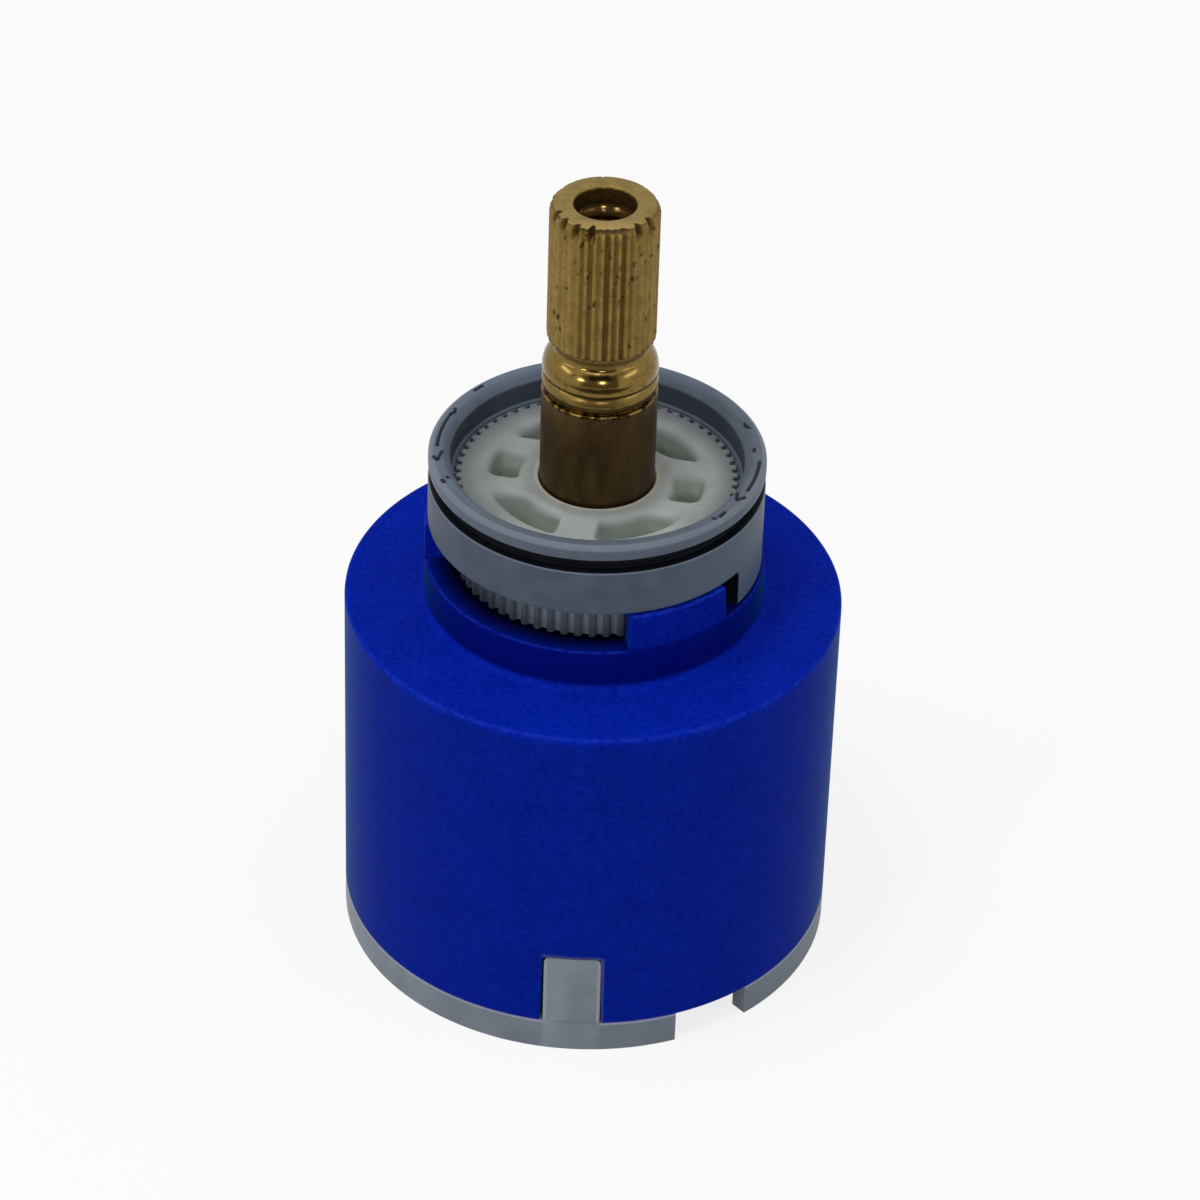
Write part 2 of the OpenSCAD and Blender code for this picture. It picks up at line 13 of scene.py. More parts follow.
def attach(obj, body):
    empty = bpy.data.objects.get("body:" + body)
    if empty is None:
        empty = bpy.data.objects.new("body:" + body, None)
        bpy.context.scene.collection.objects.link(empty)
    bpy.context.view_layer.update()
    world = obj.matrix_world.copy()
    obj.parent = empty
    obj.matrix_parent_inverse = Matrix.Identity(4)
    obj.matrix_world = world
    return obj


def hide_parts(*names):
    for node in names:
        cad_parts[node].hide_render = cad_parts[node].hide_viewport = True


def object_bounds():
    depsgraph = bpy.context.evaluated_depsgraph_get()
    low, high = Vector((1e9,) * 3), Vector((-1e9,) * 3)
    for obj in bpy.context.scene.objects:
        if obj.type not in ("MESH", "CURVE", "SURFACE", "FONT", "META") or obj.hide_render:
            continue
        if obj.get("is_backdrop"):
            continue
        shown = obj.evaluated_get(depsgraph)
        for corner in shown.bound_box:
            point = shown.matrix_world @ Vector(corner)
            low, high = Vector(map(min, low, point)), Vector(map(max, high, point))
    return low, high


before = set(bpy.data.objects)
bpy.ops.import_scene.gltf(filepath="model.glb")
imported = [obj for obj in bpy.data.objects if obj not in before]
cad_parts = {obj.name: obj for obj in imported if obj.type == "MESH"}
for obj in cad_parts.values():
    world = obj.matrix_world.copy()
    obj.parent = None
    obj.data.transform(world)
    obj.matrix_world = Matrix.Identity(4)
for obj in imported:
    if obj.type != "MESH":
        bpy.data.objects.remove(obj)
cad_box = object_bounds()

MM = 0.001

# In these names R is a radius, Z a height, H a height over something else and HALF half a width.
# Angles are in degrees from +X. A pair of angles is an arc.

# Housing
BODY_R, BARREL_BORE_R = 17.5, 15.5
HOUSING_Z, SHOULDER_Z, ROOF_Z, FLOOR_Z = 2.4, 27.7, 25.3, 30.3
RIM_Z, STOP_Z = 30.8, 33.7
COLLAR_R, STOP_INNER_R = 11.9, 10.2
GUIDE_R, GUIDE_BORE_R, GUIDE_Z = 8.2, 5.45, 21.8
SHOULDER_ROUND, COLLAR_FILLET, MOULD_ROUND, FOOT_ROUND = 0.4, 0.6, 0.18, 0.12
COLD_STOP, HOT_STOP = (-77.1, -40.0), (112.0, 187.0)
SLOT_ANGLES, SLOT_HALF, SLOT_H, SLOT_ROUND = (-92.3, 27.7, 147.7), 2.14, 5.9, 0.5
SLOT_TOP_Z = HOUSING_Z + SLOT_H
SNAP_Z, SNAP_HALF, SNAP_DEPTH = 9.4, 0.5, 0.25
BARREL_COLUMNS = 288

# Base
TAB_ANGLES, TAB_HALF = (-92.1, 27.9, 147.9), 2.0

# Temperature stop
STOP_TEETH, TOOTH_ANGLE, TOOTH_COLUMNS = 62, 3.0, 16
HUB_TIP_R, HUB_ROOT_R, HUB_Z, HUB_TOP_Z = 9.8, 9.45, 30.6, 37.4
HUB_ANGLE, HUB_BORE_R, HUB_PLAY = -11.0, 4.05, 0.05
HUB_TOP_R = (4.4, 9.1)
POCKET_R, POCKET_DEPTH = (5.5, 7.35), 5.0
SQUARE_HALF, SIDE_RIB_EDGE, MAIN_RIB_HALF = 1.35, 3.65, 1.425
POCKET_ROUND, POCKET_DRAFT, POCKET_CORNER, MAIN_RIB_CRISP = 0.7, 0.2, 0.5, 3.0
POCKET_MIDDLE_R, SLIDE_R = 6.8, (8.4, 9.0)
RING_R, RING_Z, RING_TOP_Z = 11.7, 33.9, 39.5
LIP_Z, GROOVE_Z, GROOVE_R = 38.4, 37.35, 11.0
LIP_FLAT_R, MOUTH_TOP_R, MOUTH_R, BEVEL_Z, LEDGE_R = 11.4, 10.75, 10.15, 38.9, 9.95
LUG, LUG_H, LUG_INNER_R, TOOTH_Z, TOOTH_TOP_Z = (-32.0, -4.0), 2.8, 10.3, 34.05, 37.2
RING_VOID_TIP_R, RING_VOID_ROOT_R = 9.9, 9.55
ARC_END_SOFT = 0.9

# Spindle
TONGUE_Z, FLANGE_Z, WASHER_Z = 16.0, 18.0, 21.0
TONGUE_HALF_L, TONGUE_HALF_W, FLANGE_R, JOURNAL_R = 7.0, 2.0, 8.0, 5.4
O_RING_Z, O_RING_GROOVE_R, O_RING_GROOVE_HALF = (24.4, 27.4), 4.12, 0.75
LAND_R, LAND_FLAT, LAND_TOP_Z = 4.9, 4.2, 34.7
STEM_R, STEM_TOP_Z, BEAD_SPLIT_Z, BEAD_GROOVE_R, WAIST_R = 4.0, 44.8, 46.3, 3.65, 3.25
BEAD_R, BEAD_Z, BEAD_ROWS = (0.85, 1.9), (45.55, 46.6), 13
SPLINE_TEETH, SPLINE_ANGLE, SPLINE_R, SPLINE_Z, TIP_Z = 20, -5.0, 3.74, 48.3, 59.4
SPLINE_COLUMNS, RUN_IN, TIP_R, TIP_CHAMFER_H = 20, 0.84, 3.42, 0.6
GROOVE_SHARES, HOLLOW_SHARES, NOTCH_SHARES = (0.46, 0.1), (0.42, 0.06), (0.72, 0.2)
WORN_ARCS, WORN_SHARE, WEAR_SEED = ((-172, -119), (-55, -8)), 0.6, 11
FRONT_ARC, FRONT_CHAMFER = (-99, -64), 0.26
NOTCH_ARCS, NOTCH_DEPTH = ((-165, -99), (-64, -18)), 0.6
HOLE_R, HOLE_FLOOR_Z, DRILL_POINT = 2.1, 47.4, 1.2
RELIEF_Z, THREAD_PITCH, THREAD_DEPTH, THREAD_TOP_Z = (58.2, 57.95), 0.8, 0.32, 57.15
THREAD_STEP, THREAD_RUN_OUT = 0.1, 0.5

# Corners of the CAD solids that are shown as they are
CORNER_ROUND, SEAL_ROUND, CORNER_ANGLE, WELD_REACH = 0.1, 0.05, 40, 0.002
FLAT_FACE_WEIGHT = 90

# Studio: lamps as name, watts, place, width and height
LAMPS = (("ceiling", 2.07, (-105, -140, 700), 420, 420),
         ("side_left", 0.135, (-394, -70, 285), 190, 75),
         ("side_right", 0.13, (376, -137, 285), 230, 75),
         ("lamp_left", 0.165, (-225, -288, 205), 60, 36),
         ("lamp_right", 0.155, (33, -364, 205), 52, 36))
LAMP_TARGET = (0, 0, 30)
FLOOR_REACH, FLOOR_DROP, FLOOR_WHITE, ROOM_LIGHT = 4000, 0.02, 0.8, 0.5


def smooth(x, low, high):
    """0 below low, 1 above high, and 3t^2 - 2t^3 between them."""
    t = np.clip((x - low) / (high - low), 0, 1)
    return t * t * (3 - 2 * t)


def wrap(degrees):
    """An angle difference brought between -180 and 180 degrees."""
    return (degrees + 180) % 360 - 180


def arc_mask(degrees, arc, soft):
    """1 inside an arc, 0 outside it, with a smooth step soft degrees wide at each end."""
    half = (arc[1] - arc[0]) / 2
    away = np.abs(wrap(degrees - (arc[0] + arc[1]) / 2)) - half
    return 1 - smooth(away, -soft / 2, soft / 2)


def arc_ends(*arcs):
    """Angles across the smooth steps at the ends of arcs, for columns to stand at."""
    return np.ravel(np.ravel(arcs)[:, None] + np.linspace(-0.5, 0.5, 9) * ARC_END_SOFT)


def columns(count, extra):
    """Angles of a lathe's columns: count equal steps, and the extra ones."""
    every = np.concatenate([np.arange(count) * 360 / count, extra])
    return np.unique(np.mod(every, 360).round(4))


def teeth(degrees, count, root_share, tip_share):
    """How far out a tooth stands at an angle, 0 at its root and 1 at its tip.

    Each tooth is a trapezium with the two shares of the pitch as its widths, and its flanks are
    softened by 3t^2 - 2t^3.
    """
    phase = np.abs((degrees * count / 360 + 0.5) % 1 - 0.5)
    return smooth(-phase, -root_share / 2, -tip_share / 2)


def flatted(degrees, radius, flat):
    """Polar radius of a round bar with two flats at that distance from its middle."""
    return np.minimum(radius, flat / np.maximum(np.abs(np.sin(np.radians(degrees))), 1e-6))


def rounded_rows(corners, size, closed=False, steps=5):
    """Radii and heights of a lathe's rows from the corners of its profile.

    A corner is (radius, height, rounding), and radius and height may change with the column. Each
    corner turns into the quadratic curve between the points d before and d past it, where d is its
    rounding or 0.45 of the shorter side. A corner with no rounding is one row, and so is each end
    of an open profile.
    """
    p = np.array([[np.broadcast_to(np.asarray(v, float), size) for v in c[:2]] for c in corners])
    back, ahead = np.roll(p, 1, 0) - p, np.roll(p, -1, 0) - p
    back_l, ahead_l = (np.maximum(np.linalg.norm(v, axis=1), 1e-9) for v in (back, ahead))
    t = np.linspace(0, 1, steps)[:, None, None]
    rows = []
    for k, (_, _, rounding) in enumerate(corners):
        if rounding == 0 or (not closed and k in (0, len(corners) - 1)):
            rows.append(p[k][None])
            continue
        d = np.minimum(rounding, 0.45 * np.minimum(back_l[k], ahead_l[k]))
        a, b = p[k] + back[k] * d / back_l[k], p[k] + ahead[k] * d / ahead_l[k]
        rows.append((1 - t) ** 2 * a + 2 * t * (1 - t) * p[k] + t ** 2 * b)
    rows = np.concatenate(rows)
    return rows[:, 0], rows[:, 1]


def on_axis(r, z, degrees):
    """Points of a lathe: x = r cos(angle), y = r sin(angle), z."""
    angle = np.radians(degrees)
    return np.stack(np.broadcast_arrays(r * np.cos(angle), r * np.sin(angle), z), -1)


def grid_faces(rows, count, closed_rows):
    """Quads between a grid's neighbours. Its columns close on themselves, and its rows if asked."""
    i = np.arange(rows if closed_rows else rows - 1)[:, None]
    j = np.arange(count)[None, :]
    low, high, after = i * count, (i + 1) % rows * count, (j + 1) % count
    return np.stack([low + j, low + after, high + after, high + j], -1).reshape(-1, 4)


def lead_with_flat_faces(piece):
    """Lets large flat faces set the shading beside narrow roundings."""
    flat = piece.modifiers.new("flat faces lead", "WEIGHTED_NORMAL")
    flat.weight = FLAT_FACE_WEIGHT


def add_piece(name, points, faces, material, body, node=None):
    """Puts points in millimetres and faces into a mesh, and sets it on its body."""
    mesh = bpy.data.meshes.new(name)
    mesh.from_pydata(np.asarray(points).reshape(-1, 3) * MM, [], faces)
    mesh.shade_smooth()
    mesh.materials.append(material)
    piece = bpy.data.objects.new(name, mesh)
    bpy.context.scene.collection.objects.link(piece)
    lead_with_flat_faces(piece)
    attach(piece, body)
    if node:
        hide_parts(node)


class Value:
    """One output socket of a node tree, on which Python's arithmetic adds Math nodes."""

    def __init__(self, nodes, socket):
        self.nodes, self.socket = nodes, socket

    def math(self, operation, *values):
        return self.nodes.node("ShaderNodeMath", {"operation": operation}, values)

    def __add__(self, other):
        return self.math("ADD", self, other)

    def __sub__(self, other):
        return self.math("SUBTRACT", self, other)

    def __rsub__(self, other):
        return self.math("SUBTRACT", other, self)

    def __mul__(self, other):
        return self.math("MULTIPLY", self, other)

    def __pow__(self, other):
        return self.math("POWER", self, other)

    def __abs__(self):
        return self.math("ABSOLUTE", self)

    def __neg__(self):
        return self.math("MULTIPLY", self, -1.0)

    __radd__, __rmul__ = __add__, __mul__

    def least(self, other):
        return self.math("MINIMUM", self, other)

    def most(self, other):
        return self.math("MAXIMUM", self, other)

    def ramp(self, start, end):
        """0 at the start, 1 at the end, smooth between them. The end may be the smaller one."""
        return self.nodes.node("ShaderNodeMapRange", {"interpolation_type": "SMOOTHSTEP"},
                               (self, start, end, 0.0, 1.0))

    def past(self, level, soft):
        """0 up to a level, and 1 from soft beyond it."""
        return self.ramp(level, level + soft)

    def short_of(self, level, soft):
        """1 up to soft before a level, and 0 from the level on."""
        return self.ramp(level, level - soft)

    def between(self, low, high, soft_low, soft_high):
        """1 between two levels and 0 outside them, with both soft edges inside."""
        return self.past(low, soft_low) * self.short_of(high, soft_high)

    def blend(self, first, second):
        """The first colour where this value is 0 and the second where it is 1."""
        first, second = (c if isinstance(c, Value) else (*c, 1.0) for c in (first, second))
        return self.nodes.node("ShaderNodeMix", {"data_type": "RGBA"},
                               {0: self, 6: first, 7: second}, out=2)


class Nodes:
    """A node tree, and the one method that adds nodes to it."""

    def __init__(self, tree):
        self.tree = tree

    def node(self, kind, settings=None, inputs=(), out=0):
        """Adds a node: its settings first, then the values or links of its sockets."""
        added = self.tree.nodes.new(kind)
        for key, value in (settings or {}).items():
            setattr(added, key, value)
        for key, value in inputs.items() if isinstance(inputs, dict) else enumerate(inputs):
            if isinstance(value, Value):
                self.tree.links.new(value.socket, added.inputs[key])
            else:
                added.inputs[key].default_value = value
        return Value(self, added.outputs[out])

    def seen_directly(self):
        """1 for rays from the camera, and for those that metal or glass sends on."""
        rays = (self.node("ShaderNodeLightPath", out=f"Is {kind} Ray")
                for kind in ("Camera", "Glossy", "Transmission"))
        return strongest(*rays)


class Paint(Nodes):
    """A material's node tree, with the place of a point in millimetres."""

    def __init__(self, name, **constants):
        self.material = bpy.data.materials.new(name)
        self.material.use_nodes = True
        super().__init__(self.material.node_tree)
        self.shader = self.tree.nodes["Principled BSDF"]
        for socket, value in constants.items():
            self.shader.inputs[socket.replace("_", " ")].default_value = value

    @cached_property
    def mm(self):
        place = self.node("ShaderNodeTexCoord", out="Object")
        return self.node("ShaderNodeVectorMath", {"operation": "SCALE"},
                         {0: place, "Scale": 1 / MM})

    @cached_property
    def x(self):
        return self.node("ShaderNodeSeparateXYZ", {}, (self.mm,), out="X")

    @cached_property
    def y(self):
        return self.node("ShaderNodeSeparateXYZ", {}, (self.mm,), out="Y")

    @cached_property
    def z(self):
        return self.node("ShaderNodeSeparateXYZ", {}, (self.mm,), out="Z")

    @cached_property
    def r(self):
        return (self.x * self.x + self.y * self.y) ** 0.5

    def noise(self, per_mm, detail=2.0, roughness=0.5, place=None):
        """Cloudy noise from 0 to 1, with that many features in a millimetre."""
        return self.node("ShaderNodeTexNoise", {}, {"Vector": place or self.mm, "Scale": per_mm,
                                                     "Detail": detail, "Roughness": roughness})

    def stretched(self, across, along):
        """Place scaled across and along the axis, for marks that run round or along the piece."""
        return self.node("ShaderNodeVectorMath", {"operation": "MULTIPLY"},
                         {0: self.mm, 1: (across, across, along)})

    def specks(self, per_mm, size, place=None):
        """1 inside scattered round specks, 0 between them."""
        spot = self.node("ShaderNodeTexVoronoi", {}, {"Vector": place or self.mm, "Scale": per_mm,
                                                      "Randomness": 1.0})
        return 1 - spot.ramp(size * 0.5, size)

    def snap_places(self, angles):
        """For each direction, the distance across it and a mask of the outside that way."""
        for turn in np.radians(angles):
            across = self.y * np.cos(turn) - self.x * np.sin(turn)
            ahead = self.x * np.cos(turn) + self.y * np.sin(turn)
            yield across, ahead.past(BARREL_BORE_R - 0.5, 1.0)

    def finish(self, height=None, strength=0.2, distance=0.05, **values):
        """Links what changes over the surface to the shader, and a height to its normal."""
        if height is not None:
            values["Normal"] = self.node("ShaderNodeBump", {}, {
                "Strength": strength, "Distance": distance * MM, "Height": height})
        for socket, value in values.items():
            self.tree.links.new(value.socket, self.shader.inputs[socket.replace("_", " ")])
        return self.material


def strongest(first, *others):
    """The largest of several masks."""
    for mask in others:
        first = first.most(mask)
    return first


def layered(tone, *layers):
    """A colour with layers over it, each a mask and the colour that shows where the mask is 1."""
    for mask, colour in layers:
        tone = mask.blend(tone, colour)
    return tone


def blue_moulding():
    """Ultramarine moulded plastic: mottled spark-eroded skin, faint flow clouds, paler edges.

    The paler edges are partly worn and partly painted highlight. The barrel's side has painted
    shade that makes it darker than the shoulder. The collar's wall and the ledge inside it have
    painted shade under the ring. The foot, and the top and one side of each slot, have greyer edges
    that are painted highlight.
    """
    p = Paint("blue_moulding", Specular_IOR_Level=0.012, Sheen_Weight=0.06, Sheen_Roughness=0.3,
              Sheen_Tint=(0.12, 1.0, 0.1, 1))
    cloud, grain, mottle = p.noise(0.35, 3.0), p.noise(9.0, 3.0, 0.65), p.noise(2.6, 4.0, 0.65)
    scuff = p.noise(1.0, 4.0, 0.7, p.stretched(2.2, 0.5)).ramp(0.62, 0.72)
    # Mask for painted shade: the barrel's side is darker than the shoulder.
    barrel = p.z.short_of(SHOULDER_Z - 0.35, 0.4)
    # Mask for painted shade on the collar's wall, under the ring.
    wall = (p.z.past(SHOULDER_Z + 0.25, 0.35)
            * p.r.between(COLLAR_R - 0.1, COLLAR_R + 0.7, 0.06, 0.4))
    stops = p.z.past(RIM_Z - 0.1, 0.6)
    # Mask for the painted shadow of the ring on the ledge inside the collar.
    ledge = (p.z.between(FLOOR_Z - 0.15, RIM_Z + 0.2, 0.1, 0.1)
             * p.r.short_of(COLLAR_R - 0.05, 0.12))
    inward = p.r.ramp(COLLAR_R - 0.2, STOP_INNER_R)
    # Edges that are partly worn and partly painted highlight; the collar rim's pale edge is painted
    # highlight.
    shoulder_edge = p.r.past(BODY_R - 0.25, 0.2) * p.z.past(SHOULDER_Z - SHOULDER_ROUND, 0.25)
    stop_edge = p.z.past(STOP_Z - 0.2, 0.15)
    rim_edge = (p.z.between(RIM_Z - 0.14, RIM_Z + 0.1, 0.08, 0.08)
                * p.r.between(COLLAR_R - 0.3, COLLAR_R - 0.01, 0.12, 0.05))
    worn_and_highlit_edges = strongest(shoulder_edge, stop_edge, rim_edge * 0.75) * p.noise(1.7).ramp(0.3, 0.6)
    # Painted highlight: greyer edges along the foot, and along the top and one side of each slot.
    painted_low_edge_highlights = [p.z.short_of(HOUSING_Z + 0.16, 0.1)]
    for across, ahead in p.snap_places(SLOT_ANGLES):
        side = (across.between(SLOT_HALF - 0.1, SLOT_HALF + 0.25, 0.06, 0.2)
                * p.z.short_of(SLOT_TOP_Z + 0.2, 0.3))
        top = (p.z.between(SLOT_TOP_Z - 0.1, SLOT_TOP_Z + 0.3, 0.06, 0.25)
               * abs(across).short_of(SLOT_HALF + 0.1, 0.3))
        painted_low_edge_highlights.append(side.most(top) * ahead)
    tone = layered(
        cloud.ramp(0.3, 0.7).blend((0.0002, 0.0095, 0.28), (0.0005, 0.0125, 0.335)),
        (mottle.ramp(0.42, 0.68) * 0.42, (0.0035, 0.027, 0.44)),
        (grain.ramp(0.5, 0.72) * 0.35, (0.006, 0.03, 0.35)),
        (mottle.ramp(0.5, 0.25) * 0.35, (0.0003, 0.005, 0.2)),
        # Painted shade on the barrel's side.
        (barrel * 0.4, (0.0003, 0.008, 0.12)),
        # Painted shade on the collar's wall, weaker on the stop walls above the collar's top.
        (wall * (0.76 - stops * 0.46), (0.0004, 0.001, 0.11)),
        # Painted shadow on the ledge, darker inward.
        (ledge * (0.55 + inward * 0.35), (0.0002, 0.001, 0.02)),
        # Paler edges: wear mixed with painted highlight.
        (worn_and_highlit_edges * 0.45, (0.012, 0.04, 0.48)),
        # Painted highlight along the foot and the slots' edges.
        (strongest(*painted_low_edge_highlights) * p.r.past(BODY_R - 1.0, 0.4) * 0.5, (0.09, 0.095, 0.3)))
    return p.finish(grain * 0.6 + mottle * 0.9 + scuff * 0.15, 0.2, 0.03, Base_Color=tone,
                    Roughness=0.46 + cloud * 0.1 - scuff * 0.06)


def natural_moulding(name, light, dark):
    """Unpigmented plastic of the hub and the base: cloudy off-white, with painted light and shade.

    The hub has a painted green glow in its pockets, painted shade round its rim, round the stem,
    at its back and left and down its teeth, painted light at its front, and a painted cream
    reflection of the brass at its bore. The base has painted shade at its front and right, a
    painted lavender highlight under the housing and painted highlights on the edges of its tabs.
    """
    p = Paint(name, Specular_IOR_Level=0.25, Subsurface_Weight=0.2, Subsurface_Scale=0.0012,
              Subsurface_Radius=(1.0, 1.0, 0.8))
    cloud, grain = p.noise(0.5, 3.0), p.noise(7.0, 3.0, 0.6)
    hub = p.z.past(HUB_Z - 0.1, 0.05)
    # Mask for painted shade round the hub's rim, beside the ring.
    rim = p.r.past(HUB_TIP_R - 2.0, 1.6) * hub
    # Mask for painted light: a lighter green tint in the pockets, standing in for light glowing
    # through the plastic.
    pocket = (p.z.ramp(HUB_TOP_Z - 0.1, HUB_TOP_Z - 1.7)
              * p.r.short_of(POCKET_R[1] + 1.05, 0.3) * hub)
    # Mask for painted shade round the stem.
    centre = p.r.short_of(POCKET_R[0] + 0.1, 0.8) * hub
    # Mask for a painted reflection of the brass at the bore's edge.
    bore_reflection = p.r.short_of(HUB_BORE_R + 0.37, 0.15) * p.z.past(HUB_TOP_Z - 0.3, 0.1)
    # Masks for painted shade at the hub's back and painted light at its front.
    back, front = p.y.ramp(1.0, 9.0) * hub, p.y.ramp(-4.5, -7.0) * hub
    # Masks for painted shade on the hub's left and on the base's right.
    left, base_right = p.x.ramp(-4.2, -8.4) * hub, p.x.ramp(-2.0, 14.0) * (1 - hub)
    # Mask and tone of painted shade down the teeth under the ring: lighter roots and darker tips
    # soften the gaps, darkest on the left.
    low_teeth = (p.z.short_of(HUB_TOP_Z - 0.3, 3.2) * p.r.past(HUB_ROOT_R - 0.45, 0.2) * hub)
    dim = layered(p.r.past(HUB_ROOT_R, 0.3).blend((0.215, 0.245, 0.295), (0.08, 0.093, 0.121)),
                  (p.x.ramp(-3.6, -7.8) * 0.6, (0.035, 0.042, 0.058)))
    tabs, tab_edge_highlights = [], []
    for across, ahead in p.snap_places(TAB_ANGLES):
        across = abs(across)
        tabs.append(across.short_of(TAB_HALF + 0.1, 0.15) * ahead)
        tab_edge_highlights.append(across.between(TAB_HALF - 0.3, TAB_HALF + 0.1, 0.15, 0.1) * ahead)
    outside = p.r.past(BODY_R - 0.3, 0.1)
    # Mask for painted highlights on the tabs' side edges.
    tab_edge_highlight = strongest(*tab_edge_highlights) * p.z.past(HOUSING_Z - 0.3, 0.6) * outside
    base_rim = (1 - strongest(*tabs)) * outside
    # Mask for a painted lavender highlight on the base just under the housing.
    lavender_highlight = p.z.between(HOUSING_Z - 0.22, HOUSING_Z + 0.1, 0.12, 0.1) * base_rim
    tone = layered(
        cloud.ramp(0.25, 0.75).blend(dark, light),
        # Painted shade round the hub's rim.
        (rim * 0.8, (0.155, 0.17, 0.18)),
        # Painted light: green glow in the pockets.
        (pocket * 0.85, (0.45, 0.51, 0.435)),
        # Painted shade round the stem.
        (centre * 0.42, (0.2, 0.215, 0.205)),
        # Painted reflection of the brass, cream, at the bore's edge.
        (bore_reflection * 0.6, (0.52, 0.45, 0.33)),
        # Painted shade at the hub's back.
        (back * 0.42, (0.165, 0.182, 0.222)),
        # Painted shade on the base's right.
        (base_right * 0.58, (0.11, 0.135, 0.17)),
        # Painted shade on the hub's left.
        (left * (1 - pocket) * 0.4, (0.14, 0.158, 0.168)),
        # Painted shade down the teeth.
        (low_teeth, dim),
        # Painted light at the hub's front.
        (front * (1 - low_teeth) * 0.35, (0.5, 0.53, 0.52)),
        # Painted shade on the front of the base's rim.
        (p.y.ramp(-10.0, -17.0) * base_rim * 0.33, (0.1, 0.112, 0.155)),
        # Painted highlight under the housing.
        (lavender_highlight * 0.6, (0.36, 0.37, 0.52)),
        # Painted highlight on the tabs' edges.
        (tab_edge_highlight * 0.55, (0.33, 0.36, 0.4)))
    return p.finish(grain * 0.5 + p.noise(1.6) * 0.7, 0.14, 0.03, Base_Color=tone,
                    Roughness=0.42 + grain * 0.14)


def slate_moulding():
    """Blue-grey satin plastic of the ring, with painted shade inside its groove, on the wall of its
    mouth and on its teeth, and painted highlights on the edges of its lip and skirt.

    Its skirt and lip have painted light and shade from side to side, the skirt darker than the lip,
    and the lug's end face has painted shade.
    """
    p = Paint("slate_moulding", Specular_IOR_Level=0.12)
    cloud, grain = p.noise(0.6, 3.0), p.noise(10.0, 3.0, 0.65)
    clouded = cloud.ramp(0.25, 0.75)
    skirt = p.z.short_of(GROOVE_Z + 0.05, 0.1) * p.r.past(RING_R - 0.3, 0.1)
    outer = p.r.past(MOUTH_R + 0.25, 0.2)
    lip = p.z.past(LIP_Z + 0.1, 0.1) * outer
    # Mask for painted shade inside the finger groove.
    groove = (p.z.between(GROOVE_Z - 0.06, LIP_Z + 0.06, 0.05, 0.05)
              * p.r.short_of(RING_R - 0.02, 0.07) * outer)
    turn = np.radians(LUG[0])
    before = p.x * np.sin(turn) - p.y * np.cos(turn)
    # Mask for painted shade on the lug's end face, seen through the slit.
    lug_end_shade = before.between(-0.12, 0.3, 0.06, 0.1) * p.z.short_of(RING_Z, 0.1) * p.x.ramp(0.0, 1.0)
    # Mask for painted shade on the wall of the ring's mouth.
    wall = (p.r.short_of(MOUTH_R + 0.15, 0.1)
            * p.z.between(HUB_TOP_Z + 0.05, BEVEL_Z + 0.1, 0.06, 0.15))
    # Mask for painted shade on the ring's teeth, in the gaps between the hub's teeth.
    inside = p.r.short_of(RING_VOID_TIP_R - 0.1, 0.08) * p.z.short_of(TOOTH_TOP_Z + 0.1, 0.1)
    # Masks for painted highlights on the lip's outer edge and the skirt's top edge.
    lip_edge_highlight = p.r.past(LIP_FLAT_R - 0.1, 0.1) * p.z.past(RING_TOP_Z - 0.4, 0.1)
    skirt_edge_highlight = p.r.past(RING_R - 0.08, 0.06) * abs(p.z - (GROOVE_Z - 0.04)).short_of(0.1, 0.08)
    tone = layered(
        clouded.blend((0.09, 0.11, 0.145), (0.117, 0.14, 0.182)),
        # Painted shade: the skirt darker than the lip.
        (skirt * 0.75, clouded.blend((0.046, 0.063, 0.092), (0.065, 0.085, 0.118))),
        # Painted light towards the skirt's right.
        (skirt * p.x.ramp(3.0, 10.0) * 0.5, (0.085, 0.125, 0.175)),
        # Painted light and shade across the lip: lighter towards the back, darker at the left and
        # at the front.
        (lip * (p.y - p.x * 0.6).ramp(-2.0, 12.0) * 0.5, (0.15, 0.185, 0.25)),
        (lip * p.x.ramp(-3.0, -11.0) * 0.45, (0.1, 0.14, 0.2)),
        (lip * p.y.ramp(-4.0, -11.0) * 0.5, (0.075, 0.09, 0.115)),
        # Painted shade, near black, in the groove and on the lug's end face.
        (groove.most(lug_end_shade) * 0.97, (0.0015, 0.002, 0.004)),
        # Painted shade on the mouth's wall.
        (wall * 0.7, (0.03, 0.039, 0.052)),
        # Painted shade on the ring's teeth.
        (inside * 0.9, (0.006, 0.008, 0.011)),
        # Painted highlights on the lip's and the skirt's edges.
        (lip_edge_highlight.most(skirt_edge_highlight) * 0.5, (0.21, 0.235, 0.28)))
    return p.finish(grain * 0.5 + p.noise(2.0) * 0.5, 0.15, 0.03, Base_Color=tone,
                    Roughness=0.4 + cloud * 0.12)


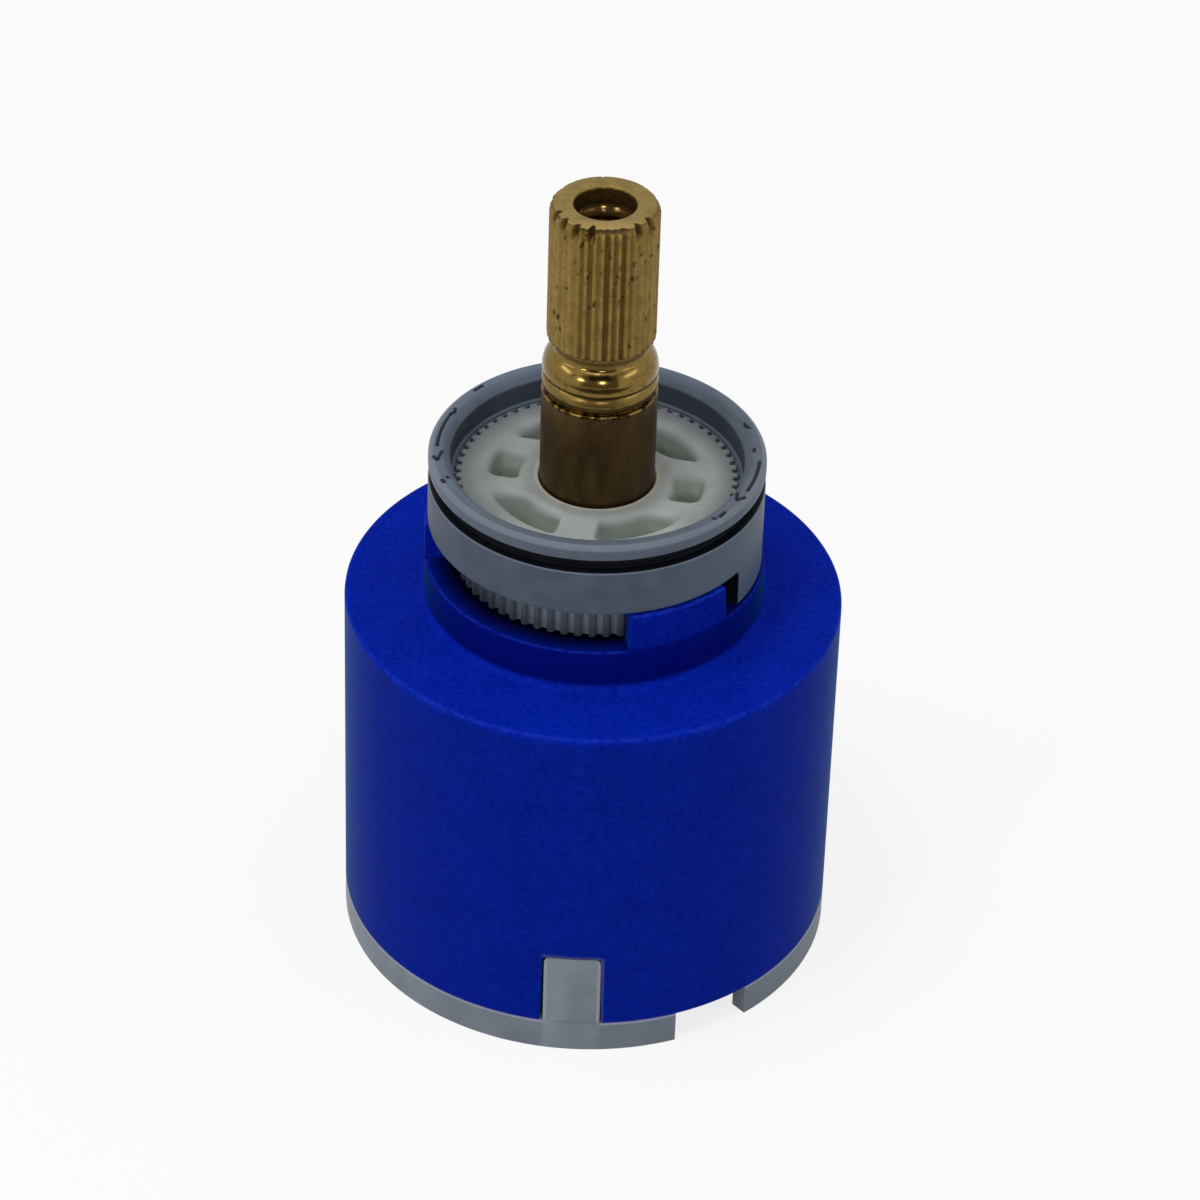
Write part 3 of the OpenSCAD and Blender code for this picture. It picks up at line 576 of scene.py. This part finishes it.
def brass():
    """Turned and rolled brass: matt tan tip, pitted spline, polished beads and browned stem.

    Dirt lies in the pits and at the stem's chipped edge. Painted shade lies in the waist under the
    spline, in the notches, under the front edge of the tip and at the stem's foot by the hub. The
    spline's foot has a dark broken ring, and the front of the tip has a painted highlight.
    """
    p = Paint("brass", Specular_IOR_Level=0.2)
    stem = p.z.short_of(STEM_TOP_Z - 0.08, 0.08)
    beads = p.z.between(STEM_TOP_Z - 0.16, SPLINE_Z + 0.2, 0.08, 0.4)
    low_bead = beads * p.z.short_of(BEAD_SPLIT_Z + 0.1, 0.2)
    tip = p.z.past(TIP_Z - 0.1, 0.06)
    # Mask for a painted highlight on the front of the tip.
    tip_front_highlight = tip * p.y.ramp(-1.8, -2.8)
    hole = (p.r.short_of(HOLE_R + 0.5, 0.1)
            * p.z.between(HOLE_FLOOR_Z - 2 * DRILL_POINT, TIP_Z - 0.08, 1.0, 0.06))
    relief = hole * p.z.between(THREAD_TOP_Z - 0.25, RELIEF_Z[0] + 0.05, 0.3, 0.1)
    cloud, fine = p.noise(0.9, 4.0, 0.6), p.noise(3.5, 4.0, 0.7)
    stain = p.noise(1.4, 4.0, 0.7, p.stretched(1.0, 1.8)).ramp(0.5, 0.68)
    flow = p.noise(0.5, 3.0, 0.6, p.stretched(1.0, 0.4)).ramp(0.3, 0.7)
    turned = p.noise(1.0, 2.0, 0.5, p.stretched(0.6, 14.0))
    grooves = p.r.short_of(SPLINE_R - 0.05, 0.22) * (1 - tip) * p.z.past(SPLINE_Z + 0.6, 0.3)
    torn = p.node("ShaderNodeVectorMath", {"operation": "ADD"},
                  {0: p.stretched(1.0, 0.8), 1: p.noise(2.5, 3.0)})
    spline_pits = (p.specks(1.25, 0.27, torn) * p.noise(0.4, 1.0).ramp(0.36, 0.48) * 0.85
                   * p.z.past(SPLINE_Z + 0.5, 0.3) * (1 - tip))
    pits = spline_pits.most(p.specks(1.6, 0.12) * beads * 0.8)
    chips = (p.noise(2.2, 2.0).ramp(0.5, 0.58)
             * p.z.between(STEM_TOP_Z - 0.25, STEM_TOP_Z + 0.06, 0.06, 0.06))
    foot = abs(p.z - (SPLINE_Z + 0.85)).short_of(0.16, 0.1) * fine.ramp(0.4, 0.55)
    # Mask for painted shade in the waist under the spline.
    waist = (p.r.short_of(WAIST_R + 0.2, 0.1)
             * p.z.between(SPLINE_Z - 0.05, SPLINE_Z + 0.9, 0.3, 0.1))
    # Mask for painted shade in the notches.
    notches = (p.r.between(HOLE_R + 0.7, TIP_R - 0.02, 0.1, 0.1)
               * p.z.between(TIP_Z - 1.0, TIP_Z - 0.04, 0.2, 0.04))
    # Mask for painted shade under the front edge of the tip.
    brow_shadow = (p.z.between(TIP_Z - 0.28, TIP_Z - 0.04, 0.05, 0.05)
            * (-p.y - p.r * 0.86).ramp(0.0, 0.2))
    # Dirt in the pits and chips, with painted shade in the waist, the notches and under the tip's
    # front edge.
    dirt_and_painted_shade = strongest(pits, chips, foot.most(waist) * 0.7, brow_shadow * 0.75, notches * 0.55)
    tan = (cloud * 0.5 + fine * 0.5).ramp(0.35, 0.65)
    tip_tan = (cloud * 0.6 + fine * 0.4).ramp(0.35, 0.65)
    brown_and_painted_shadow = layered(flow.blend((0.05, 0.029, 0.01), (0.1, 0.061, 0.02)),
                    # Painted shadow on the stem's foot by the hub.
                    (p.z.short_of(HUB_TOP_Z + 0.45, 0.4) * 0.85, (0.008, 0.005, 0.002)))
    tone = layered(
        tan.blend((0.2, 0.127, 0.029), (0.312, 0.204, 0.051)),
        (grooves * 0.65, (0.085, 0.048, 0.008)),
        (beads, (stain * 0.7).blend((0.2, 0.132, 0.036), (0.085, 0.048, 0.01))),
        (tip, tip_tan.blend((0.185, 0.127, 0.031), (0.265, 0.186, 0.05))),
        # Painted highlight on the front of the tip.
        (tip_front_highlight * 0.45, (0.42, 0.29, 0.105)),
        (stem, brown_and_painted_shadow),
        # Dirt and painted shade darken these places.
        (dirt_and_painted_shade * 0.92, (0.014, 0.006, 0.001)),
        (hole, fine.ramp(0.35, 0.65).blend((0.075, 0.042, 0.01), (0.16, 0.095, 0.026))),
        (relief * 0.7, (0.25, 0.155, 0.05)))
    matt = 1 - beads * 0.8
    rough = (0.55 - beads * 0.43 + low_bead * 0.15 - tip * 0.1 - stem * 0.08 + pits * 0.15
             - hole * 0.42 + cloud * 0.06)
    metal = 0.35 + beads * 0.65 + stem * 0.35 + hole * 0.35
    height = turned * 0.3 * matt + fine * 0.3 * matt + stain * beads * 0.2 - pits * 1.5
    return p.finish(height, 0.3, 0.03, Base_Color=tone, Roughness=rough, Metallic=metal.least(1.0))


def lapped_ceramic():
    """Sintered ceramic: warm white with fine dark grain, lapped smooth."""
    p = Paint("lapped_ceramic", Specular_IOR_Level=0.5)
    tone = layered(p.noise(1.2, 4.0).ramp(0.3, 0.7).blend((0.6, 0.585, 0.55), (0.7, 0.685, 0.65)),
                   (p.specks(3.0, 0.12) * 0.4, (0.3, 0.28, 0.25)))
    return p.finish(p.noise(12.0, 3.0), 0.1, 0.02, Base_Color=tone,
                    Roughness=0.22 + p.noise(3.0) * 0.1)


def seal_rubber():
    """Black moulded rubber with a greyish bloom."""
    p = Paint("seal_rubber", Specular_IOR_Level=0.3)
    bloom = p.noise(1.5, 4.0).ramp(0.35, 0.75)
    return p.finish(p.noise(8.0, 3.0), 0.2, 0.03, Roughness=0.55 + p.noise(2.0) * 0.2,
                    Base_Color=bloom.blend((0.012, 0.012, 0.013), (0.03, 0.03, 0.032)))


def sign_shade_paint():
    """Painted shade: near-black colour of the ring's small moulded signs, for the shade on their
    flanks.
    """
    p = Paint("sign_painted_shade", Specular_IOR_Level=0.15)
    cloud = p.noise(4.0).ramp(0.3, 0.7)
    return p.finish(p.noise(12.0), 0.1, 0.02, Roughness=0.5 + p.noise(5.0) * 0.1,
                    Base_Color=cloud.blend((0.005, 0.007, 0.011), (0.015, 0.019, 0.027)))


def make_housing(material):
    """Lathe of the housing: barrel, shoulder, collar with two stop walls, and guide tube.

    The collar's height steps up over the stop walls' arcs. The lower edge steps up over each snap
    slot to a flat top with corners rounded as quarter circles, by the distance in from the slot's
    side. Rows of one height under and over these steps keep the shading beside them even.
    """
    inset = np.array([-0.3, -0.12, -0.05, 0.0, 0.05, 0.1, 0.2, 0.35, 0.5, 0.8])
    slot_half = np.degrees(np.arcsin((SLOT_HALF - inset) / BODY_R))
    slot_ends = np.array(SLOT_ANGLES)[:, None, None] + np.array([-1, 1])[:, None] * slot_half
    angle = columns(BARREL_COLUMNS, np.append(arc_ends(COLD_STOP, HOT_STOP), slot_ends))
    stops = sum(arc_mask(angle, arc, ARC_END_SOFT) for arc in (COLD_STOP, HOT_STOP))
    top = RIM_Z + (STOP_Z - RIM_Z) * stops
    near = np.min([np.abs(wrap(angle - a)) for a in SLOT_ANGLES], axis=0)
    depth = SLOT_HALF - BODY_R * np.sin(np.radians(np.minimum(near, 90)))
    short = np.clip(SLOT_ROUND - depth, 0, SLOT_ROUND)
    slot = SLOT_H - SLOT_ROUND + np.sqrt(SLOT_ROUND ** 2 - short ** 2)
    foot = HOUSING_Z + slot * smooth(depth, -0.06, 0.06)
    snap_r = BARREL_BORE_R + SNAP_DEPTH
    r, z = rounded_rows([
        (BODY_R, foot, FOOT_ROUND), (BODY_R, SLOT_TOP_Z + 0.3, 0),
        (BODY_R, SHOULDER_Z, SHOULDER_ROUND), (COLLAR_R, SHOULDER_Z, COLLAR_FILLET),
        (COLLAR_R, RIM_Z - 0.35, 0), (COLLAR_R, top, MOULD_ROUND), (STOP_INNER_R, top, MOULD_ROUND),
        (STOP_INNER_R, FLOOR_Z, 0.15), (GUIDE_BORE_R, FLOOR_Z, 0.3), (GUIDE_BORE_R, GUIDE_Z, 0.2),
        (GUIDE_R, GUIDE_Z, 0.2), (GUIDE_R, ROOF_Z, 0.3), (BARREL_BORE_R, ROOF_Z, 0.3),
        (BARREL_BORE_R, SNAP_Z + SNAP_HALF, 0.05), (snap_r, SNAP_Z + SNAP_HALF / 2, 0.1),
        (snap_r, SNAP_Z - SNAP_HALF / 2, 0.1), (BARREL_BORE_R, SNAP_Z - SNAP_HALF, 0.05),
        (BARREL_BORE_R, foot, FOOT_ROUND)], angle.size, closed=True)
    add_piece("housing_shell", on_axis(r, z, angle), grid_faces(*r.shape, True), material,
              "housing", "housing")


def make_hub(material):
    """Lathe of the toothed hub, with six pockets sunk in its top.

    A column keeps its place in the pitch at the teeth. Further in it slides so that fixed columns
    follow the ribs' straight sides: angle = asin(distance / radius). The top falls by a quarter
    circle at a pocket's edge, then steeply to the pocket's floor, by the distance in from the
    pocket's side. Where two sides meet, that distance is the corner's radius less the hypotenuse of
    what each lacks of it, which rounds the corner. On the two main ribs it counts MAIN_RIB_CRISP
    times, which makes their edges that much sharper.
    """
    count = STOP_TEETH * TOOTH_COLUMNS
    even = np.arange(count) * 360 / count
    offsets = np.array([-0.8, -0.7, -0.58, -0.45, -0.3, -0.18, -0.08, 0.0, 0.1, POCKET_DRAFT, 0.3])
    middle_one = offsets.size // 2
    spread = np.arange(offsets.size) - middle_one

    def knots(radius):
        """Column numbers of one quarter, and the angles that they take at a radius."""
        sides = [(SQUARE_HALF - offsets[::-1], False), (SIDE_RIB_EDGE + offsets, False),
                 (MAIN_RIB_HALF + offsets[::-1], True)]
        place, angle = [0.0], [0.0]
        for distance, from_top in sides:
            middle = np.degrees(np.arcsin(distance[middle_one] / POCKET_MIDDLE_R))
            middle = (90 - middle if from_top else middle) * count / 360
            turned = np.degrees(np.arcsin(np.clip(distance / radius, -1, 1)))
            place.extend(np.round(middle) + spread)
            angle.extend(90 - turned if from_top else turned)
        return np.array(place), np.array(angle)

    def slid(radius):
        """Angle of each column at a radius, measured from the square pockets."""
        place, angle = knots(radius)
        half = count // 2
        place = np.concatenate([place, half - place[::-1], half + place, count - place[::-1]])
        angle = np.concatenate([angle, 180 - angle[::-1], 180 + angle, 360 - angle[::-1]])
        keep = np.concatenate([[True], np.diff(place) > 0])
        inner = np.interp(np.arange(count), place[keep], angle[keep])
        return inner + (even - inner) * smooth(radius, *SLIDE_R)

    radius = np.concatenate([
        np.linspace(*SLIDE_R[::-1], 3), POCKET_R[1] - offsets,
        [6.95, 6.84, 6.7, 6.5, 6.3, 6.1, 5.98, 5.9], POCKET_R[0] + offsets[::-1], [4.6]])
    around = np.array([slid(v) for v in radius])
    x, y = (np.abs(radius[:, None] * f(np.radians(around))) for f in (np.cos, np.sin))
    rib = x - MAIN_RIB_HALF
    rib = np.where(rib < 0, MAIN_RIB_CRISP * rib, rib)
    side = np.maximum(SQUARE_HALF - y, np.minimum(y - SIDE_RIB_EDGE, rib))
    ends = np.minimum(radius - POCKET_R[0], POCKET_R[1] - radius)[:, None]
    inside = POCKET_CORNER - np.hypot(*(np.maximum(POCKET_CORNER - v, 0) for v in (side, ends)))
    lip = np.clip(inside + POCKET_ROUND, 0, POCKET_ROUND)
    fall = POCKET_ROUND - np.sqrt(POCKET_ROUND ** 2 - lip ** 2)
    wall = (POCKET_DEPTH - POCKET_ROUND) * np.clip(inside / POCKET_DRAFT, 0, 1)
    out = teeth(even + HUB_ANGLE - TOOTH_ANGLE, STOP_TEETH, 0.64, 0.36)
    tooth = HUB_ROOT_R + (HUB_TIP_R - HUB_ROOT_R) * out
    bore = flatted(slid(HUB_BORE_R), LAND_R + HUB_PLAY, LAND_FLAT + HUB_PLAY)
    step_z = LAND_TOP_Z + 0.1
    outer_r, outer_z = rounded_rows([
        (bore, HUB_Z, 0), (tooth, HUB_Z, 0.1), (tooth, HUB_TOP_Z, 0.14),
        (HUB_TOP_R[1], HUB_TOP_Z, 0)], count)
    inner_r, inner_z = rounded_rows([
        (HUB_TOP_R[0], HUB_TOP_Z, 0), (HUB_BORE_R, HUB_TOP_Z, 0.2), (HUB_BORE_R, step_z, 0.03),
        (bore, step_z, 0.05), (bore, HUB_Z + 0.05, 0)], count)
    r = np.concatenate([outer_r, np.repeat(radius[:, None], count, 1), inner_r])
    z = np.concatenate([outer_z, HUB_TOP_Z - fall - wall, inner_z])
    turn = np.concatenate([np.repeat(even[None], len(outer_r), 0), around,
                           np.repeat(slid(HUB_TOP_R[0])[None], len(inner_r), 0)])
    turn[0] = turn[-1]
    add_piece("toothed_hub", on_axis(r, z, turn + HUB_ANGLE), grid_faces(*r.shape, True), material,
              "spindle", "limit_hub")


def make_ring(material):
    """Lathe of the stop ring: skirt, finger groove, bevelled lip, inside teeth, and a lug.

    The lug is where the skirt's lower edge drops over its arc.
    """
    angle = columns(STOP_TEETH * TOOTH_COLUMNS, arc_ends(LUG))
    foot = RING_Z - LUG_H * arc_mask(angle, LUG, ARC_END_SOFT)
    out = teeth(angle - TOOTH_ANGLE, STOP_TEETH, 0.8, 0.6)
    void = RING_VOID_ROOT_R + (RING_VOID_TIP_R - RING_VOID_ROOT_R) * out
    r, z = rounded_rows([
        (RING_R, foot, 0.14), (RING_R, RING_Z + 0.3, 0), (RING_R, GROOVE_Z, 0.1),
        (GROOVE_R, GROOVE_Z, 0.08), (GROOVE_R, LIP_Z, 0.08), (RING_R, LIP_Z, 0.1),
        (RING_R, RING_TOP_Z - 0.3, 0.15), (LIP_FLAT_R, RING_TOP_Z, 0.15),
        (MOUTH_TOP_R, RING_TOP_Z, 0.1), (MOUTH_R, BEVEL_Z, 0.15), (MOUTH_R, HUB_TOP_Z, 0.04),
        (LEDGE_R, HUB_TOP_Z, 0.05), (LEDGE_R, TOOTH_TOP_Z, 0.01), (void, TOOTH_TOP_Z, 0.04),
        (void, TOOTH_Z, 0.06), (LUG_INNER_R, TOOTH_Z, 0.04), (LUG_INNER_R, foot, 0.1)],
        angle.size, closed=True, steps=4)
    add_piece("stop_ring", on_axis(r, z, angle), grid_faces(*r.shape, True), material,
              "limit_ring", "limit_ring")


def make_marks(material):
    """Small raised signs on the ring's lip: two turning arrows, dashes and dots.

    Each sign is a bar carried along a path of (angle, radius) points: at a point, the bar's section
    of (offset, height) pairs stands across the path's direction, in the tangent and radial
    directions.
    """
    width, rise, sink = 0.14, 0.04, 0.03
    section = np.array([(-width, -sink), (-0.7 * width, rise), (0.7 * width, rise), (width, -sink)])

    def bar(*stops):
        """A path through (angle, radius) stops, with points between them."""
        stops = np.array(stops, float)
        place = np.linspace(0, len(stops) - 1, 8 * len(stops))
        return np.stack([np.interp(place, np.arange(len(stops)), stops[:, k]) for k in range(2)], 1)

    left_arrow = [bar((159, 10.98), (170, 11.02), (181, 11.08)), bar((184, 10.75), (190, 11.15)),
                  bar((190, 11.15), (187, 11.38)), bar((155.5, 11.0), (158, 10.84)),
                  bar((158, 10.84), (160, 10.98))]
    right_arrow = [bar((-23.5, 11.2), (-14, 11.2), (-4, 11.2)), bar((-26, 10.72), (-30.5, 11.05)),
                   bar((-30.5, 11.05), (-27, 11.38))]
    dashes = [bar((137.5, 11.1), (142.5, 11.1)), bar((200.3, 10.95), (202, 10.88)),
              bar((201.5, 11.38), (203.8, 11.3)), bar((1.5, 10.84), (4, 10.84)),
              bar((16.5, 11.0), (18, 10.86)), bar((17.5, 10.84), (20.5, 10.84)),
              bar((-45, 11.1), (-43.5, 11.3)), bar((-42.5, 11.3), (-38.5, 11.22))]
    points, faces, count = [], [], 0
    corners = np.arange(len(section))
    for path in left_arrow + right_arrow + dashes:
        angle = np.radians(path[:, 0])
        flat = path[:, 1:] * np.stack([np.cos(angle), np.sin(angle)], 1)
        along = np.gradient(flat, axis=0)
        along /= np.linalg.norm(along, axis=1, keepdims=True)
        side = np.stack([-along[:, 1], along[:, 0]], 1)
        plan = flat[:, None] + side[:, None] * section[None, :, :1]
        height = np.broadcast_to(RING_TOP_Z + section[:, 1], plan.shape[:2])
        points.append(np.concatenate([plan, height[..., None]], -1).reshape(-1, 3))
        faces += (grid_faces(len(path), len(section), False)[:, ::-1] + count).tolist()
        last = count + (len(path) - 1) * len(section)
        faces += [(count + corners).tolist(), (last + corners[::-1]).tolist()]
        count += len(path) * len(section)
    # The signs are coloured near black, a painted shade.
    add_piece("ring_signs", np.concatenate(points), faces, material, "limit_ring")


def make_spindle(material):
    """Lathe of the spindle: tongue, flange, grooved journal, flatted land, stem, beads and spline.

    The spline's radius is that over its teeth, less a groove between two teeth and a shallower
    hollow along the middle of each. Each has its own depth, and both are half filled over two worn
    arcs. Beside the front the grooves end in notches at the tip. At the front the tip's chamfer is
    wider. Above the thread the hole has a relief that narrows as 3t^2 - 2t^3. The thread is a V
    that climbs by its pitch in one turn: depth = V(height / pitch - turn).
    """
    random = np.random.default_rng(WEAR_SEED)
    groove_depth = random.uniform(0.24, 0.34, SPLINE_TEETH)
    hollow_depth = random.uniform(0.17, 0.25, SPLINE_TEETH)
    notch_depth = random.uniform(0.7, 1.0, SPLINE_TEETH)
    chamfer_wear = random.uniform(0, 1, SPLINE_TEETH)
    count = SPLINE_TEETH * SPLINE_COLUMNS
    pitches = np.arange(count) / SPLINE_COLUMNS
    angle = SPLINE_ANGLE + pitches * 360 / SPLINE_TEETH
    groove, land = pitches.astype(int), np.round(pitches).astype(int) % SPLINE_TEETH
    half_pitch = 180 / SPLINE_TEETH

    turned = np.radians(angle - HUB_ANGLE)
    tongue = np.minimum(TONGUE_HALF_L / np.maximum(np.abs(np.cos(turned)), 1e-6),
                        TONGUE_HALF_W / np.maximum(np.abs(np.sin(turned)), 1e-6))
    flats = flatted(angle - HUB_ANGLE, LAND_R, LAND_FLAT)
    grooves = [(radius, middle + side * O_RING_GROOVE_HALF, 0.08) for middle in O_RING_Z
               for radius, side in ((JOURNAL_R, -1), (O_RING_GROOVE_R, -1),
                                    (O_RING_GROOVE_R, 1), (JOURNAL_R, 1))]

    low = np.arccos(1 - (STEM_R - BEAD_GROOVE_R) / BEAD_R[0])
    under = np.arcsin((BEAD_SPLIT_Z - BEAD_Z[1]) / BEAD_R[1])
    waist = np.arccos(1 - (STEM_R - WAIST_R) / BEAD_R[1])
    beads = [(STEM_R - size * (1 - np.cos(a)), middle + size * np.sin(a), 0)
             for size, middle, start, stop in zip(BEAD_R, BEAD_Z, (-low, under), (low, waist))
             for a in np.linspace(start, stop, BEAD_ROWS)]
    beads.insert(BEAD_ROWS, (BEAD_GROOVE_R, BEAD_SPLIT_Z, 0))

    from_tooth = angle - SPLINE_ANGLE
    between = teeth(from_tooth + half_pitch, SPLINE_TEETH, *GROOVE_SHARES)
    middle = teeth(from_tooth, SPLINE_TEETH, *HOLLOW_SHARES)
    bite = teeth(from_tooth + half_pitch, SPLINE_TEETH, *NOTCH_SHARES)
    clear = 1 - WORN_SHARE * sum(arc_mask(angle, arc, 12) for arc in WORN_ARCS)
    beside = sum(arc_mask(angle, arc, 4) for arc in NOTCH_ARCS)
    tooth = SPLINE_R - clear * (between * groove_depth[groove] + middle * hollow_depth[land])
    cut = tooth - NOTCH_DEPTH * bite * beside * notch_depth[groove]
    tip_r = np.minimum(TIP_R - FRONT_CHAMFER * arc_mask(angle, FRONT_ARC, 8), cut - 0.05)
    corner_z = TIP_Z - TIP_CHAMFER_H * (0.55 + 0.25 * chamfer_wear[land])
    run_in_z = SPLINE_Z - SPLINE_R + RUN_IN

    outside_r, outside_z = rounded_rows([
        (0.5, TONGUE_Z, 0), (tongue, TONGUE_Z, 0.2), (tongue, FLANGE_Z, 0.1),
        (FLANGE_R, FLANGE_Z, 0.25), (FLANGE_R, WASHER_Z, 0.25), (JOURNAL_R, WASHER_Z, 0.1),
        *grooves, (JOURNAL_R, FLOOR_Z, 0.2), (flats, FLOOR_Z, 0.03), (flats, LAND_TOP_Z, 0.15),
        (STEM_R, LAND_TOP_Z, 0.03), (STEM_R, STEM_TOP_Z, 0.14), (BEAD_GROOVE_R, STEM_TOP_Z, 0.02),
        *beads, (WAIST_R, run_in_z + WAIST_R, 0.08), (tooth, run_in_z + tooth, 0.12),
        (tooth, TIP_Z - 1.15, 0.05), (cut, TIP_Z - 0.75, 0.05), (cut, corner_z, 0.12),
        (tip_r, TIP_Z, 0.06), (HOLE_R + 0.12, TIP_Z, 0.05), (HOLE_R, TIP_Z - 0.15, 0.1),
        (HOLE_R, RELIEF_Z[0], 0.05), (HOLE_R + THREAD_DEPTH, RELIEF_Z[1], 0.05)], count, steps=4)

    height = np.arange(RELIEF_Z[1] - 0.05, HOLE_FLOOR_Z, -THREAD_STEP)[:, None]
    climb = np.abs((height / THREAD_PITCH - angle / 360) % 1 * 2 - 1)
    fade = (smooth(THREAD_TOP_Z - height, 0.0, THREAD_RUN_OUT)
            * smooth(height - HOLE_FLOOR_Z, 0.0, THREAD_RUN_OUT))
    relief = smooth(height, THREAD_TOP_Z, RELIEF_Z[1])
    thread_r = HOLE_R + THREAD_DEPTH * (np.clip(1.5 * climb - 0.3, 0, 1) * fade + relief)

    r = np.concatenate([outside_r, thread_r, np.full((1, count), HOLE_R)])
    z = np.concatenate([outside_z, np.broadcast_to(height, thread_r.shape),
                        np.full((1, count), HOLE_FLOOR_Z)])
    rows = len(r)
    points = np.concatenate([on_axis(r, z, angle).reshape(-1, 3),
                             [(0, 0, TONGUE_Z), (0, 0, HOLE_FLOOR_Z - DRILL_POINT)]])
    here, after = np.arange(count), (np.arange(count) + 1) % count
    bottom, top = np.full(count, rows * count), np.full(count, rows * count + 1)
    last = (rows - 1) * count
    faces = (grid_faces(rows, count, False).tolist() + np.stack([bottom, after, here], 1).tolist()
             + np.stack([last + here, last + after, top], 1).tolist())
    add_piece("brass_spindle", points, faces, material, "spindle", "spindle")


def soften(node, material, width=CORNER_ROUND):
    """Gives a CAD node its material, and narrow moulded roundings on its corners."""
    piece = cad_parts[node]
    piece.data.materials.clear()
    piece.data.materials.append(material)
    weld = piece.modifiers.new("join triangles", "WELD")
    weld.merge_threshold = WELD_REACH * MM
    bevel = piece.modifiers.new("moulded corners", "BEVEL")
    bevel.width, bevel.segments = width * MM, 2
    bevel.limit_method, bevel.angle_limit = "ANGLE", np.radians(CORNER_ANGLE)
    lead_with_flat_faces(piece)


def add_lamp(name, energy, place, wide, high):
    """A flat lamp at a place in millimetres, turned towards the object."""
    lamp = bpy.data.lights.new(name, "AREA")
    lamp.energy, lamp.shape = energy, "RECTANGLE"
    lamp.size, lamp.size_y = wide * MM, high * MM
    body = bpy.data.objects.new(name, lamp)
    body.location = Vector(place) * MM
    towards = Vector(LAMP_TARGET) - Vector(place)
    body.rotation_euler = towards.to_track_quat("-Z", "Y").to_euler()
    bpy.context.scene.collection.objects.link(body)


def stage_card(name, half, front, back, material):
    """A flat card of the studio, that far to each side, from its front to its back edge (y, z)."""
    corners = [(-half, *front), (half, *front), (half, *back), (-half, *back)]
    mesh = bpy.data.meshes.new(name)
    mesh.from_pydata(np.array(corners, float) * MM, [], [[0, 1, 2, 3]])
    mesh.materials.append(material)
    card = bpy.data.objects.new(name, mesh)
    bpy.context.scene.collection.objects.link(card)
    card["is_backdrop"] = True
    return card


def studio():
    """White room and floor that keeps the shadow, a dark card and mat in front, and the lamps.

    The card and the mat are there for the brass to mirror. The camera sees neither.
    """
    floor = Paint("floor_white", Base_Color=(0.9, 0.9, 0.9, 1), Roughness=0.9,
                  Specular_IOR_Level=0.0)
    white = floor.node("ShaderNodeEmission", {}, {"Color": (1, 1, 1, 1), "Strength": 1.0})
    lit = Value(floor, floor.shader.outputs[0])
    mixed = floor.node("ShaderNodeMixShader", {}, (floor.seen_directly() * FLOOR_WHITE, lit, white))
    floor.tree.links.new(mixed.socket, floor.tree.nodes["Material Output"].inputs["Surface"])
    stage_card("floor", FLOOR_REACH, (-FLOOR_REACH, -FLOOR_DROP), (FLOOR_REACH, -FLOOR_DROP),
               floor.material)

    dark = Paint("card_grey", Specular_IOR_Level=0.0)
    black = dark.z.past(250.0, 60.0) * abs(dark.x).short_of(210.0, 40.0)
    dark.finish(Base_Color=black.blend((0.32, 0.32, 0.32), (0.012, 0.012, 0.013)))
    card = stage_card("front_card", 330, (-480, 40), (-370, 560), dark.material)
    card.visible_camera = False

    grey = Paint("mat_grey", Specular_IOR_Level=0.0)
    middle = abs(grey.x).short_of(200.0, 60.0)
    grey.finish(Base_Color=middle.blend((0.6, 0.6, 0.6), (0.1, 0.1, 0.1)))
    mat = stage_card("front_mat", 260, (-500, 0.5), (-95, 0.5), grey.material)
    mat.visible_camera = mat.visible_shadow = mat.visible_diffuse = False

    world = bpy.data.worlds.new("soft_room")
    bpy.context.scene.world = world
    world.use_nodes = True
    room, background = Nodes(world.node_tree), world.node_tree.nodes["Background"]
    background.inputs["Color"].default_value = (1, 1, 1, 1)
    strength = ROOM_LIGHT + room.seen_directly() * (1 - ROOM_LIGHT)
    room.tree.links.new(strength.socket, background.inputs["Strength"])
    for lamp in LAMPS:
        add_lamp(*lamp)


def set_camera():
    """Camera of the view: an orbit point, then a small pan, tilt and roll about its own axes."""
    distance, height, lens, sensor = 350.2223, 0.6285653, 149.302, 36.0
    pan, tilt, roll = -0.0013971, -0.0024175, -0.0313402
    out = Vector((0, -np.cos(height), np.sin(height)))
    right = Vector((1, 0, 0))
    axes = Matrix((right, right.cross(-out), -out)).transposed()
    for column, angle in ((1, pan), (0, tilt), (2, roll)):
        axes = Matrix.Rotation(angle, 3, axes.col[column]) @ axes
    data = bpy.data.cameras.new("view")
    data.lens, data.sensor_width = lens, sensor
    camera = bpy.data.objects.new("view", data)
    turned = Matrix((axes.col[0], axes.col[1], -axes.col[2])).transposed().to_4x4()
    place = (Vector((0, 0, SHOULDER_Z)) + out * distance) * MM
    camera.matrix_world = Matrix.Translation(place) @ turned
    bpy.context.scene.collection.objects.link(camera)
    bpy.context.scene.camera = camera


bpy.context.scene.view_settings.view_transform = "Standard"
studio()
set_camera()

white_hub = natural_moulding("natural_hub", (0.36, 0.387, 0.367), (0.285, 0.306, 0.292))
white_base = natural_moulding("natural_base", (0.207, 0.24, 0.275), (0.16, 0.188, 0.218))
rubber, ceramic = seal_rubber(), lapped_ceramic()
make_housing(blue_moulding())
make_hub(white_hub)
make_ring(slate_moulding())
make_marks(sign_shade_paint())
make_spindle(brass())
for node in ("base", "noise_screen", "disc_carrier", "thrust_washer"):
    soften(node, white_base)
for node in ("fixed_disc", "moving_disc"):
    soften(node, ceramic)
for node in ("disc_gasket", "cold_port_seal", "hot_port_seal", "outlet_port_seal", "carrier_seal",
             "spindle_o_ring_lower", "spindle_o_ring_upper"):
    soften(node, rubber, SEAL_ROUND)

boxes = {"cad": cad_box, "visual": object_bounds()}
{k: [list(map(float, corner)) for corner in b] for k, b in boxes.items()}
